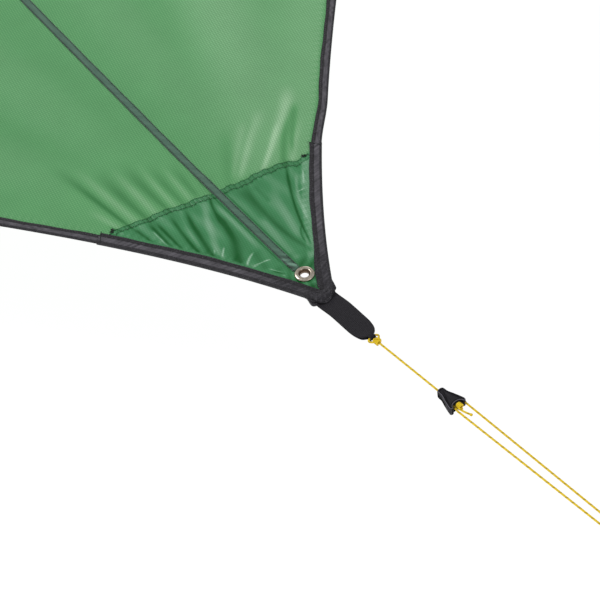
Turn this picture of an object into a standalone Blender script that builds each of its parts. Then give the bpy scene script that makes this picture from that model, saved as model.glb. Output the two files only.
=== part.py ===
"""A square camping tarp, pitched as a lean-to, with its guyline on the low front right corner.

Lengths are metres. The canopy is laid out in the plane of the tarp: p runs along the low edge,
q runs up the slope, and h stands on the cloth, positive on the weather side. The low front right
corner is at p = q = 0. The empty "pitch" tilts that plane and puts the eyelet of the high back
left corner, where the tarp is held up, at the world's origin.
"""

import math

import bmesh
import bpy
from mathutils import Matrix, Vector
from mathutils.geometry import delaunay_2d_cdt

# Canopy
SIDE_LENGTH = 3.0
PITCH_ANGLE = math.radians(25.0)
EDGE_SAG = 0.0485
CORNER_FLARE = 0.068
FLARE_REACH = 0.235
TIP_CUT = 0.020
PANEL_THICKNESS = 0.0006
PATCH_THICKNESS = 0.0005
CANOPY_SAG = 0.045
CLEARANCE = 0.0003

# Corner patches
PATCH_REACH_FIRST = 0.264
PATCH_REACH_SECOND = 0.228
PATCH_BOW = 0.006
FAN_REACH = 0.42

# Tension folds at the guyed corner
FOLD_HEIGHT = 0.0022
FOLDS_PER_SIDE = 3
FOLD_PHASE = 0.6
FOLD_START = 0.07
FOLD_FULL = 0.15
FOLD_FADE = 0.26
FOLD_EDGE_START = 0.003
FOLD_EDGE_FULL = 0.018
FOLD_SEAM_START = 0.002
FOLD_SEAM_FULL = 0.014

# Binding tapes and seam
TAPE_THICKNESS = 0.0006
EDGE_TAPE_WIDTH = 0.010
EDGE_CLEARANCE = 0.0005
CORNER_TAPE_WIDTH = 0.0135
TAPE_LAP = 0.005
TAPE_GAP = 0.0008
SEAM_WIDTH = 0.009
SEAM_THICKNESS = 0.0006
SEAM_RAMP = 0.012
SEAM_BEND = 0.0096
SEAM_BEND_REACH = 0.2
PANEL_GAP = 0.0004

# Eyelets and washers
EYELET_SETBACK = 0.057
EYELET_RADIUS = 0.010
EYELET_BORE = 0.0055
EYELET_WALL = 0.0006
FLANGE_HEIGHT = 0.0017
FLANGE_ROLL = 0.0014
RIM_ROUNDING = 0.0004
CURL_RADIUS = 0.0074
CURL_HEIGHT = 0.0006
CURL_ROUNDING = 0.0003
WASHER_RADIUS = 0.0095
WASHER_THICKNESS = 0.0010

# Webbing loops and tip caps
WEBBING_WIDTH = 0.025
WEBBING_THICKNESS = 0.0010
WEBBING_TAIL = 0.042
LOOP_REACH = 0.055
LOOP_TIP_WIDTH = 0.010
LOOP_TAPER = 0.028
LOOP_LEVEL = -0.0015
EYE_CLEARANCE = 0.0004
CAP_LENGTH = 0.014
CAP_HALF_WIDTH = 0.015
CAP_POINT = 0.009
CAP_THICKNESS = 0.0006

# Guyline
PULL_TURN = math.radians(6.0)
CORD_DIAMETER = 0.0022
KNOT_RADIUS = 0.0038
KNOT_DISTANCE = 0.0086
UPPER_LINE = 0.0862
PEG_LOOP_REACH = 0.405
TENSIONER_LENGTH = 0.031
TENSIONER_THICKNESS = 0.0075
TENSIONER_ROUNDING = 0.0011
SOCKET_DEPTH = 0.012
NOSE_HALF_WIDTH = 0.0042
LOBE_HALF_WIDTH = 0.0112
MOUTH_DEPTH = 0.006
BORE_CLEARANCE = 0.0004
LOBE_LINE_OFFSET = 0.0100
MOUTH_LINE_OFFSET = -0.0042
PEG_BEND_RADIUS = 0.0046
STOPPER_LENGTH = 0.0070
STOPPER_WIDTH = 0.0052
STOPPER_ASIDE = 0.0020
STOPPER_RISE = 0.0011
TAIL_LENGTH = 0.0150
TAIL_ASIDE = 0.0014
TAIL_RISE = 0.0010
TAIL_RADIUS_GROWTH = 1.45

# Levels of the layers above and below the middle of the cloth
PATCH_BASE = PANEL_THICKNESS / 2 + CLEARANCE
PATCH_TOP = PATCH_BASE + PATCH_THICKNESS
EDGE_TAPE_BASE = PANEL_THICKNESS / 2 + CLEARANCE
EDGE_TAPE_TOP = EDGE_TAPE_BASE + TAPE_THICKNESS
CORNER_TAPE_BASE = max(EDGE_TAPE_TOP, PATCH_TOP) + CLEARANCE
CORNER_TAPE_TOP = CORNER_TAPE_BASE + TAPE_THICKNESS
WASHER_TOP = -PANEL_THICKNESS / 2 - CLEARANCE
WEBBING_TOP = -CORNER_TAPE_TOP - CLEARANCE
WEBBING_BOTTOM = WEBBING_TOP - 2 * WEBBING_THICKNESS - CLEARANCE

# Places along the pull of a corner, measured outwards from the point where its edge chords meet
EYE_RADIUS = CORD_DIAMETER / 2 + EYE_CLEARANCE
EYE_CENTRE = LOOP_REACH - WEBBING_THICKNESS - EYE_RADIUS
KNOT_CENTRE = EYE_CENTRE + KNOT_DISTANCE
LINE_START = KNOT_CENTRE + KNOT_RADIUS + CLEARANCE
NOSE = LINE_START + UPPER_LINE
CORD_RADIUS = CORD_DIAMETER / 2
BORE_RADIUS = CORD_RADIUS + BORE_CLEARANCE
PANEL_INSET = TAPE_THICKNESS + EDGE_CLEARANCE
EYELET_HOLE = EYELET_BORE + EYELET_WALL + CLEARANCE
ROOT_TWO = math.sqrt(2.0)
SEAM_LENGTH = SIDE_LENGTH * ROOT_TWO
TIP_HALF_ANGLE = math.pi / 4 - math.atan(4.0 * EDGE_SAG / SIDE_LENGTH + CORNER_FLARE / FLARE_REACH)

# Mesh densities
FINE_COLUMNS = 15
COARSE_COLUMNS = 5
FINE_PATCH_ROWS = (0.04, 0.14, 0.24, 0.34, 0.44, 0.56, 0.68, 0.84, 1.0)
COARSE_PATCH_ROWS = (0.04, 0.14, 0.3, 0.5, 0.75, 1.0)
OUTER_ROWS = (0.25, 0.55, 1.0)
EDGE_SPANS = 12
INNER_SPACING = 0.3
ROUND_SIDES = 20


class Corner:
    """One corner of the tarp: its place, its two edges, and the way its webbing loop is pulled."""

    def __init__(self, name, place, heading, turn=0.0, seam_side=0, fine=False):
        self.name = name
        self.place = Vector(place)
        self.first = Vector((math.cos(heading), math.sin(heading)))
        self.second = Vector((math.sin(heading), -math.cos(heading)))
        self.middle = heading + math.radians(135.0)
        self.pull = self.middle + turn
        self.tip = self.middle + turn / 2
        self.seam_side = seam_side
        self.columns = FINE_COLUMNS if fine else COARSE_COLUMNS
        self.rows = FINE_PATCH_ROWS if fine else COARSE_PATCH_ROWS

    def on_plane(self, along_first, along_second):
        return self.place + along_first * self.first + along_second * self.second

    def eyelet_place(self):
        diagonal = (self.first + self.second).normalized()
        return (self.place + diagonal * EYELET_SETBACK).to_3d()


CORNERS = (
    Corner("front_right", (0.0, 0.0), math.pi, PULL_TURN, 1, fine=True),
    Corner("front_left", (-SIDE_LENGTH, 0.0), math.pi / 2),
    Corner("back_left", (-SIDE_LENGTH, SIDE_LENGTH), 0.0, seam_side=-1),
    Corner("back_right", (0.0, SIDE_LENGTH), -math.pi / 2),
)
EDGE_NAMES = ("low", "left", "high", "right")

MATERIALS = {
    "ripstop": ((0.13, 0.42, 0.18, 1.0), 0.45, 0.0),
    "ripstop_double": ((0.05, 0.20, 0.09, 1.0), 0.45, 0.0),
    "seam": ((0.03, 0.12, 0.08, 1.0), 0.5, 0.0),
    "tape": ((0.035, 0.035, 0.04, 1.0), 0.7, 0.0),
    "webbing": ((0.015, 0.015, 0.018, 1.0), 0.8, 0.0),
    "nickel": ((0.55, 0.52, 0.47, 1.0), 0.3, 1.0),
    "cord": ((0.85, 0.55, 0.03, 1.0), 0.6, 0.0),
    "moulding": ((0.012, 0.012, 0.014, 1.0), 0.4, 0.0),
}


def clear_scene():
    for obj in list(bpy.data.objects):
        bpy.data.objects.remove(obj, do_unlink=True)


def smooth(value, start, end):
    share = min(max((value - start) / (end - start), 0.0), 1.0)
    return share * share * (3.0 - 2.0 * share)


def make_material(name, finish):
    color, roughness, metallic = MATERIALS[finish]
    material = bpy.data.materials.new(name)
    material.use_nodes = True
    material.diffuse_color = color
    shader = material.node_tree.nodes["Principled BSDF"]
    shader.inputs["Base Color"].default_value = color
    shader.inputs["Roughness"].default_value = roughness
    shader.inputs["Metallic"].default_value = metallic
    return material


def add_object(name, data, finish, parent, location=(0.0, 0.0, 0.0)):
    obj = bpy.data.objects.new(name, data)
    bpy.context.collection.objects.link(obj)
    obj.parent = parent
    obj.location = location
    if finish:
        obj.data.materials.append(make_material(name, finish))
    return obj


def add_empty(name, matrix, parent=None):
    empty = bpy.data.objects.new(name, None)
    bpy.context.collection.objects.link(empty)
    empty.parent = parent
    empty.matrix_local = matrix
    return empty


def add_cutter(name, mesh, parent, location=(0.0, 0.0, 0.0)):
    cutter = add_object(name, mesh, None, parent, location)
    cutter.hide_render = True
    cutter.display_type = "WIRE"
    return cutter


def add_boolean(obj, cutter, operation="DIFFERENCE"):
    modifier = obj.modifiers.new(cutter.name, "BOOLEAN")
    modifier.operation = operation
    modifier.object = cutter
    modifier.solver = "EXACT"


def mesh_from(name, verts, faces):
    mesh = bpy.data.meshes.new(name)
    mesh.from_pydata([tuple(v) for v in verts], [], faces)
    mesh.validate()
    bm = bmesh.new()
    bm.from_mesh(mesh)
    bmesh.ops.recalc_face_normals(bm, faces=bm.faces)
    bm.to_mesh(mesh)
    bm.free()
    return mesh


def loft(name, rings, closed=False):
    """A closed body through rings of equal length: capped at its ends, or joined into a hoop."""
    count = len(rings[0])
    verts = [point for ring in rings for point in ring]
    faces = []
    last = len(rings) if closed else len(rings) - 1
    for i in range(last):
        low = i * count
        high = ((i + 1) % len(rings)) * count
        for j in range(count):
            k = (j + 1) % count
            faces.append((low + j, low + k, high + k, high + j))
    if not closed:
        faces.append(tuple(reversed(range(count))))
        faces.append(tuple(range((len(rings) - 1) * count, len(rings) * count)))
    return mesh_from(name, verts, faces)


def prism(name, outline, bottom, top):
    """A plate with the given plan, from one level to another."""
    rings = [[Vector((x, y, level)) for x, y in outline] for level in (bottom, top)]
    return loft(name, rings)


def turned(name, profile, sides=ROUND_SIDES):
    """A ring turned about the local Z axis from (radius, height) points."""
    rings = []
    for i in range(sides):
        angle = 2.0 * math.pi * i / sides
        rings.append([Vector((r * math.cos(angle), r * math.sin(angle), z)) for r, z in profile])
    return loft(name, rings, closed=True)


def trim(mesh, point, normal):
    """Cuts away what lies on the side that the normal points to, and closes the cut of a solid."""
    bm = bmesh.new()
    bm.from_mesh(mesh)
    geometry = list(bm.verts) + list(bm.edges) + list(bm.faces)
    bmesh.ops.bisect_plane(bm, geom=geometry, dist=1e-7, plane_co=point, plane_no=normal, clear_outer=True)
    return bm


def trim_sheet(mesh, point, normal):
    bm = trim(mesh, point, normal)
    bm.to_mesh(mesh)
    bm.free()


def trim_solid(mesh, point, normal):
    bm = trim(mesh, point, normal)
    rim = [edge for edge in bm.edges if edge.is_boundary]
    bmesh.ops.edgeloop_fill(bm, edges=rim)
    bmesh.ops.recalc_face_normals(bm, faces=bm.faces)
    bm.to_mesh(mesh)
    bm.free()


def shade_round(mesh, angle=math.radians(40.0)):
    mesh.shade_smooth()
    mesh.set_sharp_from_angle(angle=angle)


# Layout of the canopy in its own plane


def edge_offset(distance):
    """How far the cut edge lies inside the chord between two corners, at a distance along the chord."""
    other = SIDE_LENGTH - distance
    sag = 4.0 * EDGE_SAG * distance * other / SIDE_LENGTH**2
    near_end = 1.0 - math.exp(-distance / FLARE_REACH)
    far_end = 1.0 - math.exp(-other / FLARE_REACH)
    return sag + CORNER_FLARE * near_end * far_end


def edge_distance(radius, inset=0.0):
    """The distance along the chord of the point of the edge at this radius from the corner."""
    distance = radius
    for _ in range(12):
        distance = math.sqrt(max(radius**2 - (edge_offset(distance) + inset) ** 2, 0.0))
    return distance


def seam_bend(from_guyed_corner):
    """How far the diagonal seam is drawn towards the low edge, at a distance from the guyed corner."""
    drawn = SEAM_BEND * (1.0 - math.exp(-from_guyed_corner / SEAM_BEND_REACH))
    return drawn * (1.0 - from_guyed_corner / SEAM_LENGTH)


def seam_angle(corner, radius):
    """The polar angle of the seam, or of the middle of a corner without one, from the first edge."""
    if corner.seam_side == 0:
        return math.pi / 4
    reach = radius if corner.seam_side > 0 else SEAM_LENGTH - radius
    return math.pi / 4 - corner.seam_side * math.asin(seam_bend(reach) / radius)


def fan_point(corner, radius, share, side=0):
    """A point of the corner's fan. share runs from -1 at the first edge over 0 to 1 at the second."""
    along = edge_distance(radius, PANEL_INSET)
    low = math.atan2(edge_offset(along) + PANEL_INSET, along)
    middle = seam_angle(corner, radius) + side * PANEL_GAP / 2 / radius
    high = math.pi / 2 - low
    angle = low + (middle - low) * (1.0 + share) if share <= 0.0 else middle + (high - middle) * share
    return corner.on_plane(radius * math.cos(angle), radius * math.sin(angle))


def patch_reach(share):
    """The radius of the patch's edge along a ray of the fan."""
    ends = []
    for reach, mirrored in ((PATCH_REACH_FIRST, False), (PATCH_REACH_SECOND, True)):
        along = edge_distance(reach)
        across = edge_offset(along)
        ends.append(Vector((across, along)) if mirrored else Vector((along, across)))
    return ends[0].lerp(ends[1], (share + 1.0) / 2).length - PATCH_BOW * (1.0 - share**2)


def fan_radii(corner, share, outer=True):
    reach = patch_reach(share)
    radii = [reach * row for row in corner.rows]
    if outer:
        radii += [reach + (FAN_REACH - reach) * row for row in OUTER_ROWS]
    return radii


def tip_half_width(along):
    """Half the width of the taped tip, at a distance inwards from the point where the chords meet."""
    distance = along
    for _ in range(12):
        distance = along * ROOT_TWO - edge_offset(distance)
    cloth = (distance - edge_offset(distance)) / ROOT_TWO
    return cloth + (CLEARANCE + TAPE_THICKNESS) / math.cos(TIP_HALF_ANGLE)


def fold_level(corner, radius, share):
    """Height of the folds that the pull of the guyline draws into the cloth."""
    if corner.seam_side <= 0:
        return 0.0
    rise = smooth(radius, FOLD_START, FOLD_FULL) * (1.0 - smooth(radius, FOLD_FADE, FAN_REACH))
    arc = radius * TIP_HALF_ANGLE
    from_edge = (1.0 - abs(share)) * arc - CORNER_TAPE_WIDTH
    from_seam = abs(share) * arc - SEAM_WIDTH / 2
    clear_of_edge = smooth(from_edge, FOLD_EDGE_START, FOLD_EDGE_FULL)
    clear_of_seam = smooth(from_seam, FOLD_SEAM_START, FOLD_SEAM_FULL)
    wave = math.sin(2.0 * math.pi * FOLDS_PER_SIDE * share + FOLD_PHASE)
    return FOLD_HEIGHT * rise * clear_of_edge * clear_of_seam * wave


def belly_level(point):
    """How far each half of the canopy hangs below the plane of its edges and its seam."""
    p, q = point
    across = edge_offset(min(max(-p, 0.0), SIDE_LENGTH))
    up = edge_offset(min(max(q, 0.0), SIDE_LENGTH))
    low = q - across
    right = -p - up
    left = SIDE_LENGTH + p - up
    high = SIDE_LENGTH - q - across
    off_seam = (p + q) / ROOT_TWO
    nearest = (low * left) if off_seam < 0.0 else (right * high)
    share = max(nearest, 0.0) * abs(off_seam) * ROOT_TWO * 27.0 / SIDE_LENGTH**3
    return -CANOPY_SAG * min(share, 1.0) ** 2


class Sheet:
    """Collects the points and faces of a cloth's middle surface, and shares points that coincide."""

    def __init__(self, level=0.0):
        self.level = level
        self.verts = []
        self.faces = []
        self.index = {}

    def add(self, point, rise=0.0):
        key = (round(point.x, 6), round(point.y, 6))
        if key not in self.index:
            self.index[key] = len(self.verts)
            self.verts.append(Vector((point.x, point.y, self.level + rise + belly_level(point))))
        return self.index[key]

    def add_fan(self, corner, start, end, side=0, outer=True):
        """Adds the corner's fan between two shares, and returns the points of its last row."""
        columns = round(corner.columns * (end - start))
        grid = []
        for j in range(columns + 1):
            share = start + (end - start) * j / columns
            column = []
            for radius in fan_radii(corner, share, outer):
                point = fan_point(corner, radius, share, side if share == 0.0 else 0)
                column.append(self.add(point, fold_level(corner, radius, share)))
            grid.append(column)
        for j in range(columns):
            for i in range(len(grid[0]) - 1):
                self.faces.append((grid[j][i], grid[j][i + 1], grid[j + 1][i + 1], grid[j + 1][i]))
        return [column[-1] for column in grid]

    def fill(self, outline, inner):
        """Fills the outline with triangles that use the inner points too."""
        flat = [self.verts[i].xy for i in outline] + inner
        ring = [(i, (i + 1) % len(outline)) for i in range(len(outline))]
        inside = [list(range(len(outline)))]
        verts, _, faces, originals, _, _ = delaunay_2d_cdt(flat, ring, inside, 1, 1e-7)
        index = []
        for vert, source in zip(verts, originals):
            on_outline = source and source[0] < len(outline)
            index.append(outline[source[0]] if on_outline else self.add(vert))
        self.faces += [tuple(index[i] for i in face) for face in faces]

    def mesh(self, name):
        mesh = mesh_from(name, self.verts, self.faces)
        if mesh.polygons[0].normal.z < 0.0:
            mesh.flip_normals()
        return mesh


def edge_points(start_corner, end_corner):
    """The cloth's edge between the fans of two corners, from the first corner to the next."""
    start = edge_distance(FAN_REACH, PANEL_INSET)
    points = []
    for i in range(1, EDGE_SPANS):
        along = start + (SIDE_LENGTH - 2.0 * start) * i / EDGE_SPANS
        points.append(start_corner.on_plane(along, edge_offset(along) + PANEL_INSET))
    return points


def seam_points(side):
    """The edge of one half along the diagonal seam, from the guyed corner to the corner across."""
    points = []
    for i in range(1, EDGE_SPANS):
        reach = FAN_REACH + (SEAM_LENGTH - 2.0 * FAN_REACH) * i / EDGE_SPANS
        points.append(seam_place(reach, side * PANEL_GAP / 2))
    return points


def seam_place(reach, aside=0.0):
    along = Vector((-1.0, 1.0)) / ROOT_TWO
    towards_low = Vector((-1.0, -1.0)) / ROOT_TWO
    return along * reach + towards_low * (seam_bend(reach) - aside)


def half_panel(name, corners, side):
    """One triangular half. corners are the guyed corner, the corner beside it and the one across."""
    guyed, beside, across = corners
    sheet = Sheet()
    low_half = (-1.0, 0.0)
    high_half = (0.0, 1.0)
    guyed_row = sheet.add_fan(guyed, *(low_half if side < 0 else high_half), side)
    beside_row = sheet.add_fan(beside, -1.0, 1.0)
    across_row = sheet.add_fan(across, *(high_half if side < 0 else low_half), -side)
    seam_edge = [sheet.add(point) for point in seam_points(side)]
    if side < 0:
        first = [sheet.add(point) for point in edge_points(guyed, beside)]
        second = [sheet.add(point) for point in edge_points(beside, across)]
        outline = list(reversed(guyed_row)) + first + list(reversed(beside_row)) + second
        outline += list(reversed(across_row)) + list(reversed(seam_edge))
    else:
        first = [sheet.add(point) for point in edge_points(across, beside)]
        second = [sheet.add(point) for point in edge_points(beside, guyed)]
        outline = list(reversed(across_row)) + first + list(reversed(beside_row)) + second
        outline += list(reversed(guyed_row)) + seam_edge
    sheet.fill(outline, inner_points(side))
    return sheet.mesh(name)


def inner_points(side):
    """Points spread over the middle of one half, clear of its edges, its seam and the fans."""
    points = []
    count = round(SIDE_LENGTH / INNER_SPACING)
    margin = INNER_SPACING * 0.7
    for i in range(1, count):
        for j in range(1, count):
            p = -SIDE_LENGTH * i / count
            q = SIDE_LENGTH * j / count
            off_seam = side * (p + q)
            to_edge = min(-p, q, SIDE_LENGTH + p, SIDE_LENGTH - q)
            to_corner = min((Vector((p, q)) - corner.place).length for corner in CORNERS)
            if min(off_seam, to_edge) > margin and to_corner > FAN_REACH * 1.2:
                points.append(Vector((p, q)))
    return points


def tip_plane(corner):
    """The plane that cuts the tip square to the pull."""
    outwards = Vector((math.cos(corner.tip), math.sin(corner.tip), 0.0))
    return corner.place.to_3d() - outwards * TIP_CUT, outwards


def solidify(obj, thickness):
    modifier = obj.modifiers.new("thickness", "SOLIDIFY")
    modifier.thickness = thickness
    modifier.offset = 0.0
    modifier.use_even_offset = False


def make_panels(pitch, hole_cutters):
    by_name = {corner.name: corner for corner in CORNERS}
    halves = (
        ("left_panel", ("front_right", "front_left", "back_left"), -1),
        ("right_panel", ("front_right", "back_right", "back_left"), 1),
    )
    for name, names, side in halves:
        corners = [by_name[key] for key in names]
        mesh = half_panel(name, corners, side)
        for corner in corners:
            trim_sheet(mesh, *tip_plane(corner))
        panel = add_object(name, mesh, "ripstop", pitch)
        solidify(panel, PANEL_THICKNESS)
        for corner in corners:
            add_boolean(panel, hole_cutters[corner.name])


def make_patch(corner, pitch, hole_cutter):
    sheet = Sheet((PATCH_BASE + PATCH_TOP) / 2)
    sheet.add_fan(corner, -1.0, 1.0, outer=False)
    mesh = sheet.mesh("corner_patch_" + corner.name)
    trim_sheet(mesh, *tip_plane(corner))
    patch = add_object(mesh.name, mesh, "ripstop_double", pitch)
    solidify(patch, PATCH_THICKNESS)
    add_boolean(patch, hole_cutter)


# Tapes and seam


def tape_profile(width, outer, base):
    """A folded tape round an edge, as (inward offset, level) points."""
    top = base + TAPE_THICKNESS
    inner = outer + TAPE_THICKNESS
    upper = [(outer, top), (outer + width, top), (outer + width, base), (inner, base)]
    return upper + [(offset, -level) for offset, level in reversed(upper)]


def tape_ring(corner, along, profile, mirrored=False):
    """The tape's section at a distance along the chord of the corner's first or second edge."""
    step = 1e-4
    slope = (edge_offset(along + step) - edge_offset(along - step)) / (2.0 * step)
    inwards = Vector((-slope, 1.0)).normalized()
    ring = []
    for offset, level in profile:
        x = along + inwards.x * offset
        y = edge_offset(along) + inwards.y * offset
        place = corner.on_plane(y, x) if mirrored else corner.on_plane(x, y)
        ring.append(Vector((place.x, place.y, level)))
    return ring


def make_edge_tape(index, pitch):
    corner = CORNERS[index]
    profile = tape_profile(EDGE_TAPE_WIDTH, 0.0, EDGE_TAPE_BASE)
    beside = CORNERS[(index + 1) % len(CORNERS)]
    places = [edge_distance(PATCH_REACH_FIRST) + TAPE_GAP]
    places += [edge_distance(radius) for radius in fan_radii(corner, -1.0)[len(corner.rows):]]
    far = [edge_distance(PATCH_REACH_SECOND) + TAPE_GAP]
    far += [edge_distance(radius) for radius in fan_radii(beside, 1.0)[len(beside.rows):]]
    middle = SIDE_LENGTH - far[-1] - places[-1]
    places += [places[-1] + middle * i / EDGE_SPANS for i in range(1, EDGE_SPANS)]
    places += [SIDE_LENGTH - along for along in reversed(far)]
    mesh = loft("edge_binding_" + EDGE_NAMES[index], [tape_ring(corner, place, profile) for place in places])
    add_object(mesh.name, mesh, "tape", pitch)


def make_corner_tape(corner, mirrored, pitch):
    outer = -CLEARANCE - TAPE_THICKNESS
    profile = tape_profile(CORNER_TAPE_WIDTH - outer, outer, CORNER_TAPE_BASE)
    share = 1.0 if mirrored else -1.0
    radii = fan_radii(corner, share, outer=False) + [patch_reach(share) + TAPE_LAP]
    rings = [tape_ring(corner, edge_distance(radius), profile, mirrored) for radius in radii]
    suffix = "second" if mirrored else "first"
    mesh = loft("corner_binding_" + corner.name + "_" + suffix, rings)
    trim_solid(mesh, *tip_plane(corner))
    across = (corner.second - corner.first).to_3d().normalized() * (-1.0 if mirrored else 1.0)
    trim_solid(mesh, corner.place.to_3d() - across * CLEARANCE / 2, across)
    add_object(mesh.name, mesh, "tape", pitch)


def make_seam(pitch):
    """The flat-felled seam, which climbs onto the patch at either end and stops at the eyelets."""
    start = EYELET_SETBACK + EYELET_RADIUS + CLEARANCE
    climb = patch_reach(0.0) + 2.0 * CLEARANCE
    reaches = [start, start + SEAM_RAMP]
    reaches += [radius for radius in fan_radii(CORNERS[0], 0.0) if reaches[-1] + 0.01 < radius < climb - 0.01]
    reaches += [climb, climb + SEAM_RAMP, (climb + FAN_REACH) / 2, FAN_REACH]
    far = [SEAM_LENGTH - reach for reach in reversed(reaches)]
    middle = [FAN_REACH + (far[0] - FAN_REACH) * i / EDGE_SPANS for i in range(1, EDGE_SPANS)]
    rings = []
    for reach in reaches + middle + far:
        nearer = min(reach, SEAM_LENGTH - reach)
        raised = 1.0 - min(max((nearer - climb) / SEAM_RAMP, 0.0), 1.0)
        base = PANEL_THICKNESS / 2 + CLEARANCE + raised * (PATCH_TOP - PANEL_THICKNESS / 2)
        ahead = (seam_place(reach + 1e-3) - seam_place(reach - 1e-3)).normalized()
        aside = Vector((ahead.y, -ahead.x)) * SEAM_WIDTH / 2
        centre = seam_place(reach)
        section = ((-1, base), (1, base), (1, base + SEAM_THICKNESS), (-1, base + SEAM_THICKNESS))
        rings.append([(centre + aside * sign).to_3d() + Vector((0, 0, level)) for sign, level in section])
    mesh = loft("ridge_seam", rings)
    add_object("ridge_seam", mesh, "seam", pitch)


# Hardware of one corner, in a frame whose X axis points along the pull


def eyelet_mesh():
    outer_wall = EYELET_BORE + EYELET_WALL
    seat = PATCH_TOP + CLEARANCE
    crest = seat + FLANGE_HEIGHT
    curl_top = WASHER_TOP - WASHER_THICKNESS - CLEARANCE
    curl_bottom = curl_top - CURL_HEIGHT
    profile = [
        (EYELET_BORE, curl_bottom),
        (CURL_RADIUS - CURL_ROUNDING, curl_bottom),
        (CURL_RADIUS, (curl_top + curl_bottom) / 2),
        (CURL_RADIUS - CURL_ROUNDING, curl_top),
        (outer_wall, curl_top),
        (outer_wall, seat),
        (EYELET_RADIUS - RIM_ROUNDING, seat),
        (EYELET_RADIUS, seat + RIM_ROUNDING),
        (EYELET_RADIUS - RIM_ROUNDING, crest - RIM_ROUNDING),
        (EYELET_RADIUS - FLANGE_ROLL, crest),
        (EYELET_BORE + FLANGE_ROLL, crest),
        (EYELET_BORE + RIM_ROUNDING, crest - RIM_ROUNDING),
        (EYELET_BORE, crest - 0.8 * FLANGE_ROLL),
    ]
    mesh = turned("eyelet", profile)
    shade_round(mesh)
    return mesh


def washer_mesh():
    hole = EYELET_BORE + EYELET_WALL + CLEARANCE
    bottom = WASHER_TOP - WASHER_THICKNESS
    profile = [(hole, bottom), (WASHER_RADIUS, bottom), (WASHER_RADIUS, WASHER_TOP), (hole, WASHER_TOP)]
    mesh = turned("washer", profile)
    shade_round(mesh)
    return mesh


def loop_half_width(x):
    """Half the width of the webbing, which is gathered towards the eye."""
    if x <= LOOP_TAPER:
        return WEBBING_WIDTH / 2
    share = min((x - LOOP_TAPER) / (EYE_CENTRE - LOOP_TAPER), 1.0)
    gathered = (WEBBING_WIDTH - LOOP_TIP_WIDTH) / 2
    return LOOP_TIP_WIDTH / 2 + gathered * math.sqrt(1.0 - share**2)


def webbing_mesh():
    """A strip folded on itself: two leaves sewn under the corner, and an eye at the fold."""
    stitched = (WEBBING_TOP + WEBBING_BOTTOM) / 2
    leaf = (WEBBING_THICKNESS + CLEARANCE) / 2
    spread = EYE_RADIUS + WEBBING_THICKNESS / 2
    stations = [(-WEBBING_TAIL, 0), (-TIP_CUT + CAP_THICKNESS, 0)]
    stations += [(-0.012, 0.3), (-0.004, 0.75), (0.006, 1.0), (LOOP_TAPER, 1.0)]
    stations += [(0.034, 1.0), (0.040, 1.0), (0.046, 1.0)]
    path = []
    for x, raised in stations:
        opened = smooth(x, 0.040, EYE_CENTRE)
        path.append((x, stitched + raised * (LOOP_LEVEL - stitched), leaf + opened * (spread - leaf)))
    upper = [(x, level + half) for x, level, half in path]
    lower = [(x, level - half) for x, level, half in reversed(path)]
    fold = []
    for i in range(9):
        angle = math.pi / 2 - math.pi * i / 8
        fold.append((EYE_CENTRE + spread * math.cos(angle), LOOP_LEVEL + spread * math.sin(angle)))
    line = [Vector(point) for point in upper + fold + lower]
    rings = []
    for i, point in enumerate(line):
        before = line[max(i - 1, 0)]
        after = line[min(i + 1, len(line) - 1)]
        ahead = (after - before).normalized()
        out = Vector((-ahead.y, ahead.x)) * WEBBING_THICKNESS / 2
        half = loop_half_width(point.x)
        inner = point - out
        outer = point + out
        rings.append(
            [
                Vector((inner.x, -half, inner.y)),
                Vector((outer.x, -half, outer.y)),
                Vector((outer.x, half, outer.y)),
                Vector((inner.x, half, inner.y)),
            ]
        )
    return loft("webbing_loop", rings)


def make_cap(corner, frame):
    """The cross strip sewn round the tip, over the tapes and under the webbing."""
    along = TIP_CUT + CAP_LENGTH
    turned_by = abs(corner.tip - corner.middle)
    # The strip lies square to its own frame, which is turned from the diagonal of the taped tip
    slant = math.cos(TIP_HALF_ANGLE - turned_by) / math.cos(TIP_HALF_ANGLE)
    inner_far = tip_half_width(along) * slant + along * math.sin(turned_by) + 2.0 * CLEARANCE
    inner_near = CAP_HALF_WIDTH - CAP_THICKNESS
    wall = CAP_THICKNESS
    top = CORNER_TAPE_TOP + CLEARANCE
    bottom = WEBBING_BOTTOM - CLEARANCE
    shoulder = (-TIP_CUT + CAP_POINT * 0.6, CAP_HALF_WIDTH * 0.45)
    side = [(-along, inner_far + wall), (-TIP_CUT, CAP_HALF_WIDTH), shoulder]
    outline = [(x, -y) for x, y in side] + [(-TIP_CUT + CAP_POINT, 0.0)] + side[::-1]
    name = "corner_cap_" + corner.name
    cap = add_object(name, prism(name, outline, bottom - wall, top + wall), "tape", frame)
    slope = (inner_far - inner_near) / CAP_LENGTH
    past = 0.02
    hollow = [
        (-along - past, -inner_far - slope * past),
        (-TIP_CUT + past, -inner_near),
        (-TIP_CUT + past, inner_near),
        (-along - past, inner_far + slope * past),
    ]
    hollow.insert(1, (-TIP_CUT, -inner_near))
    hollow.insert(4, (-TIP_CUT, inner_near))
    wide = 2.0 * CAP_HALF_WIDTH
    under = [(-TIP_CUT, -wide), (past, -wide), (past, wide), (-TIP_CUT, wide)]
    for suffix, plan, floor in (("_hollow", hollow, bottom), ("_under", under, bottom - 2.0 * wall)):
        add_boolean(cap, add_cutter(name + suffix, prism(name + suffix, plan, floor, top), frame))


# Guyline, in a frame on the eye of the guyed corner's loop


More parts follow.
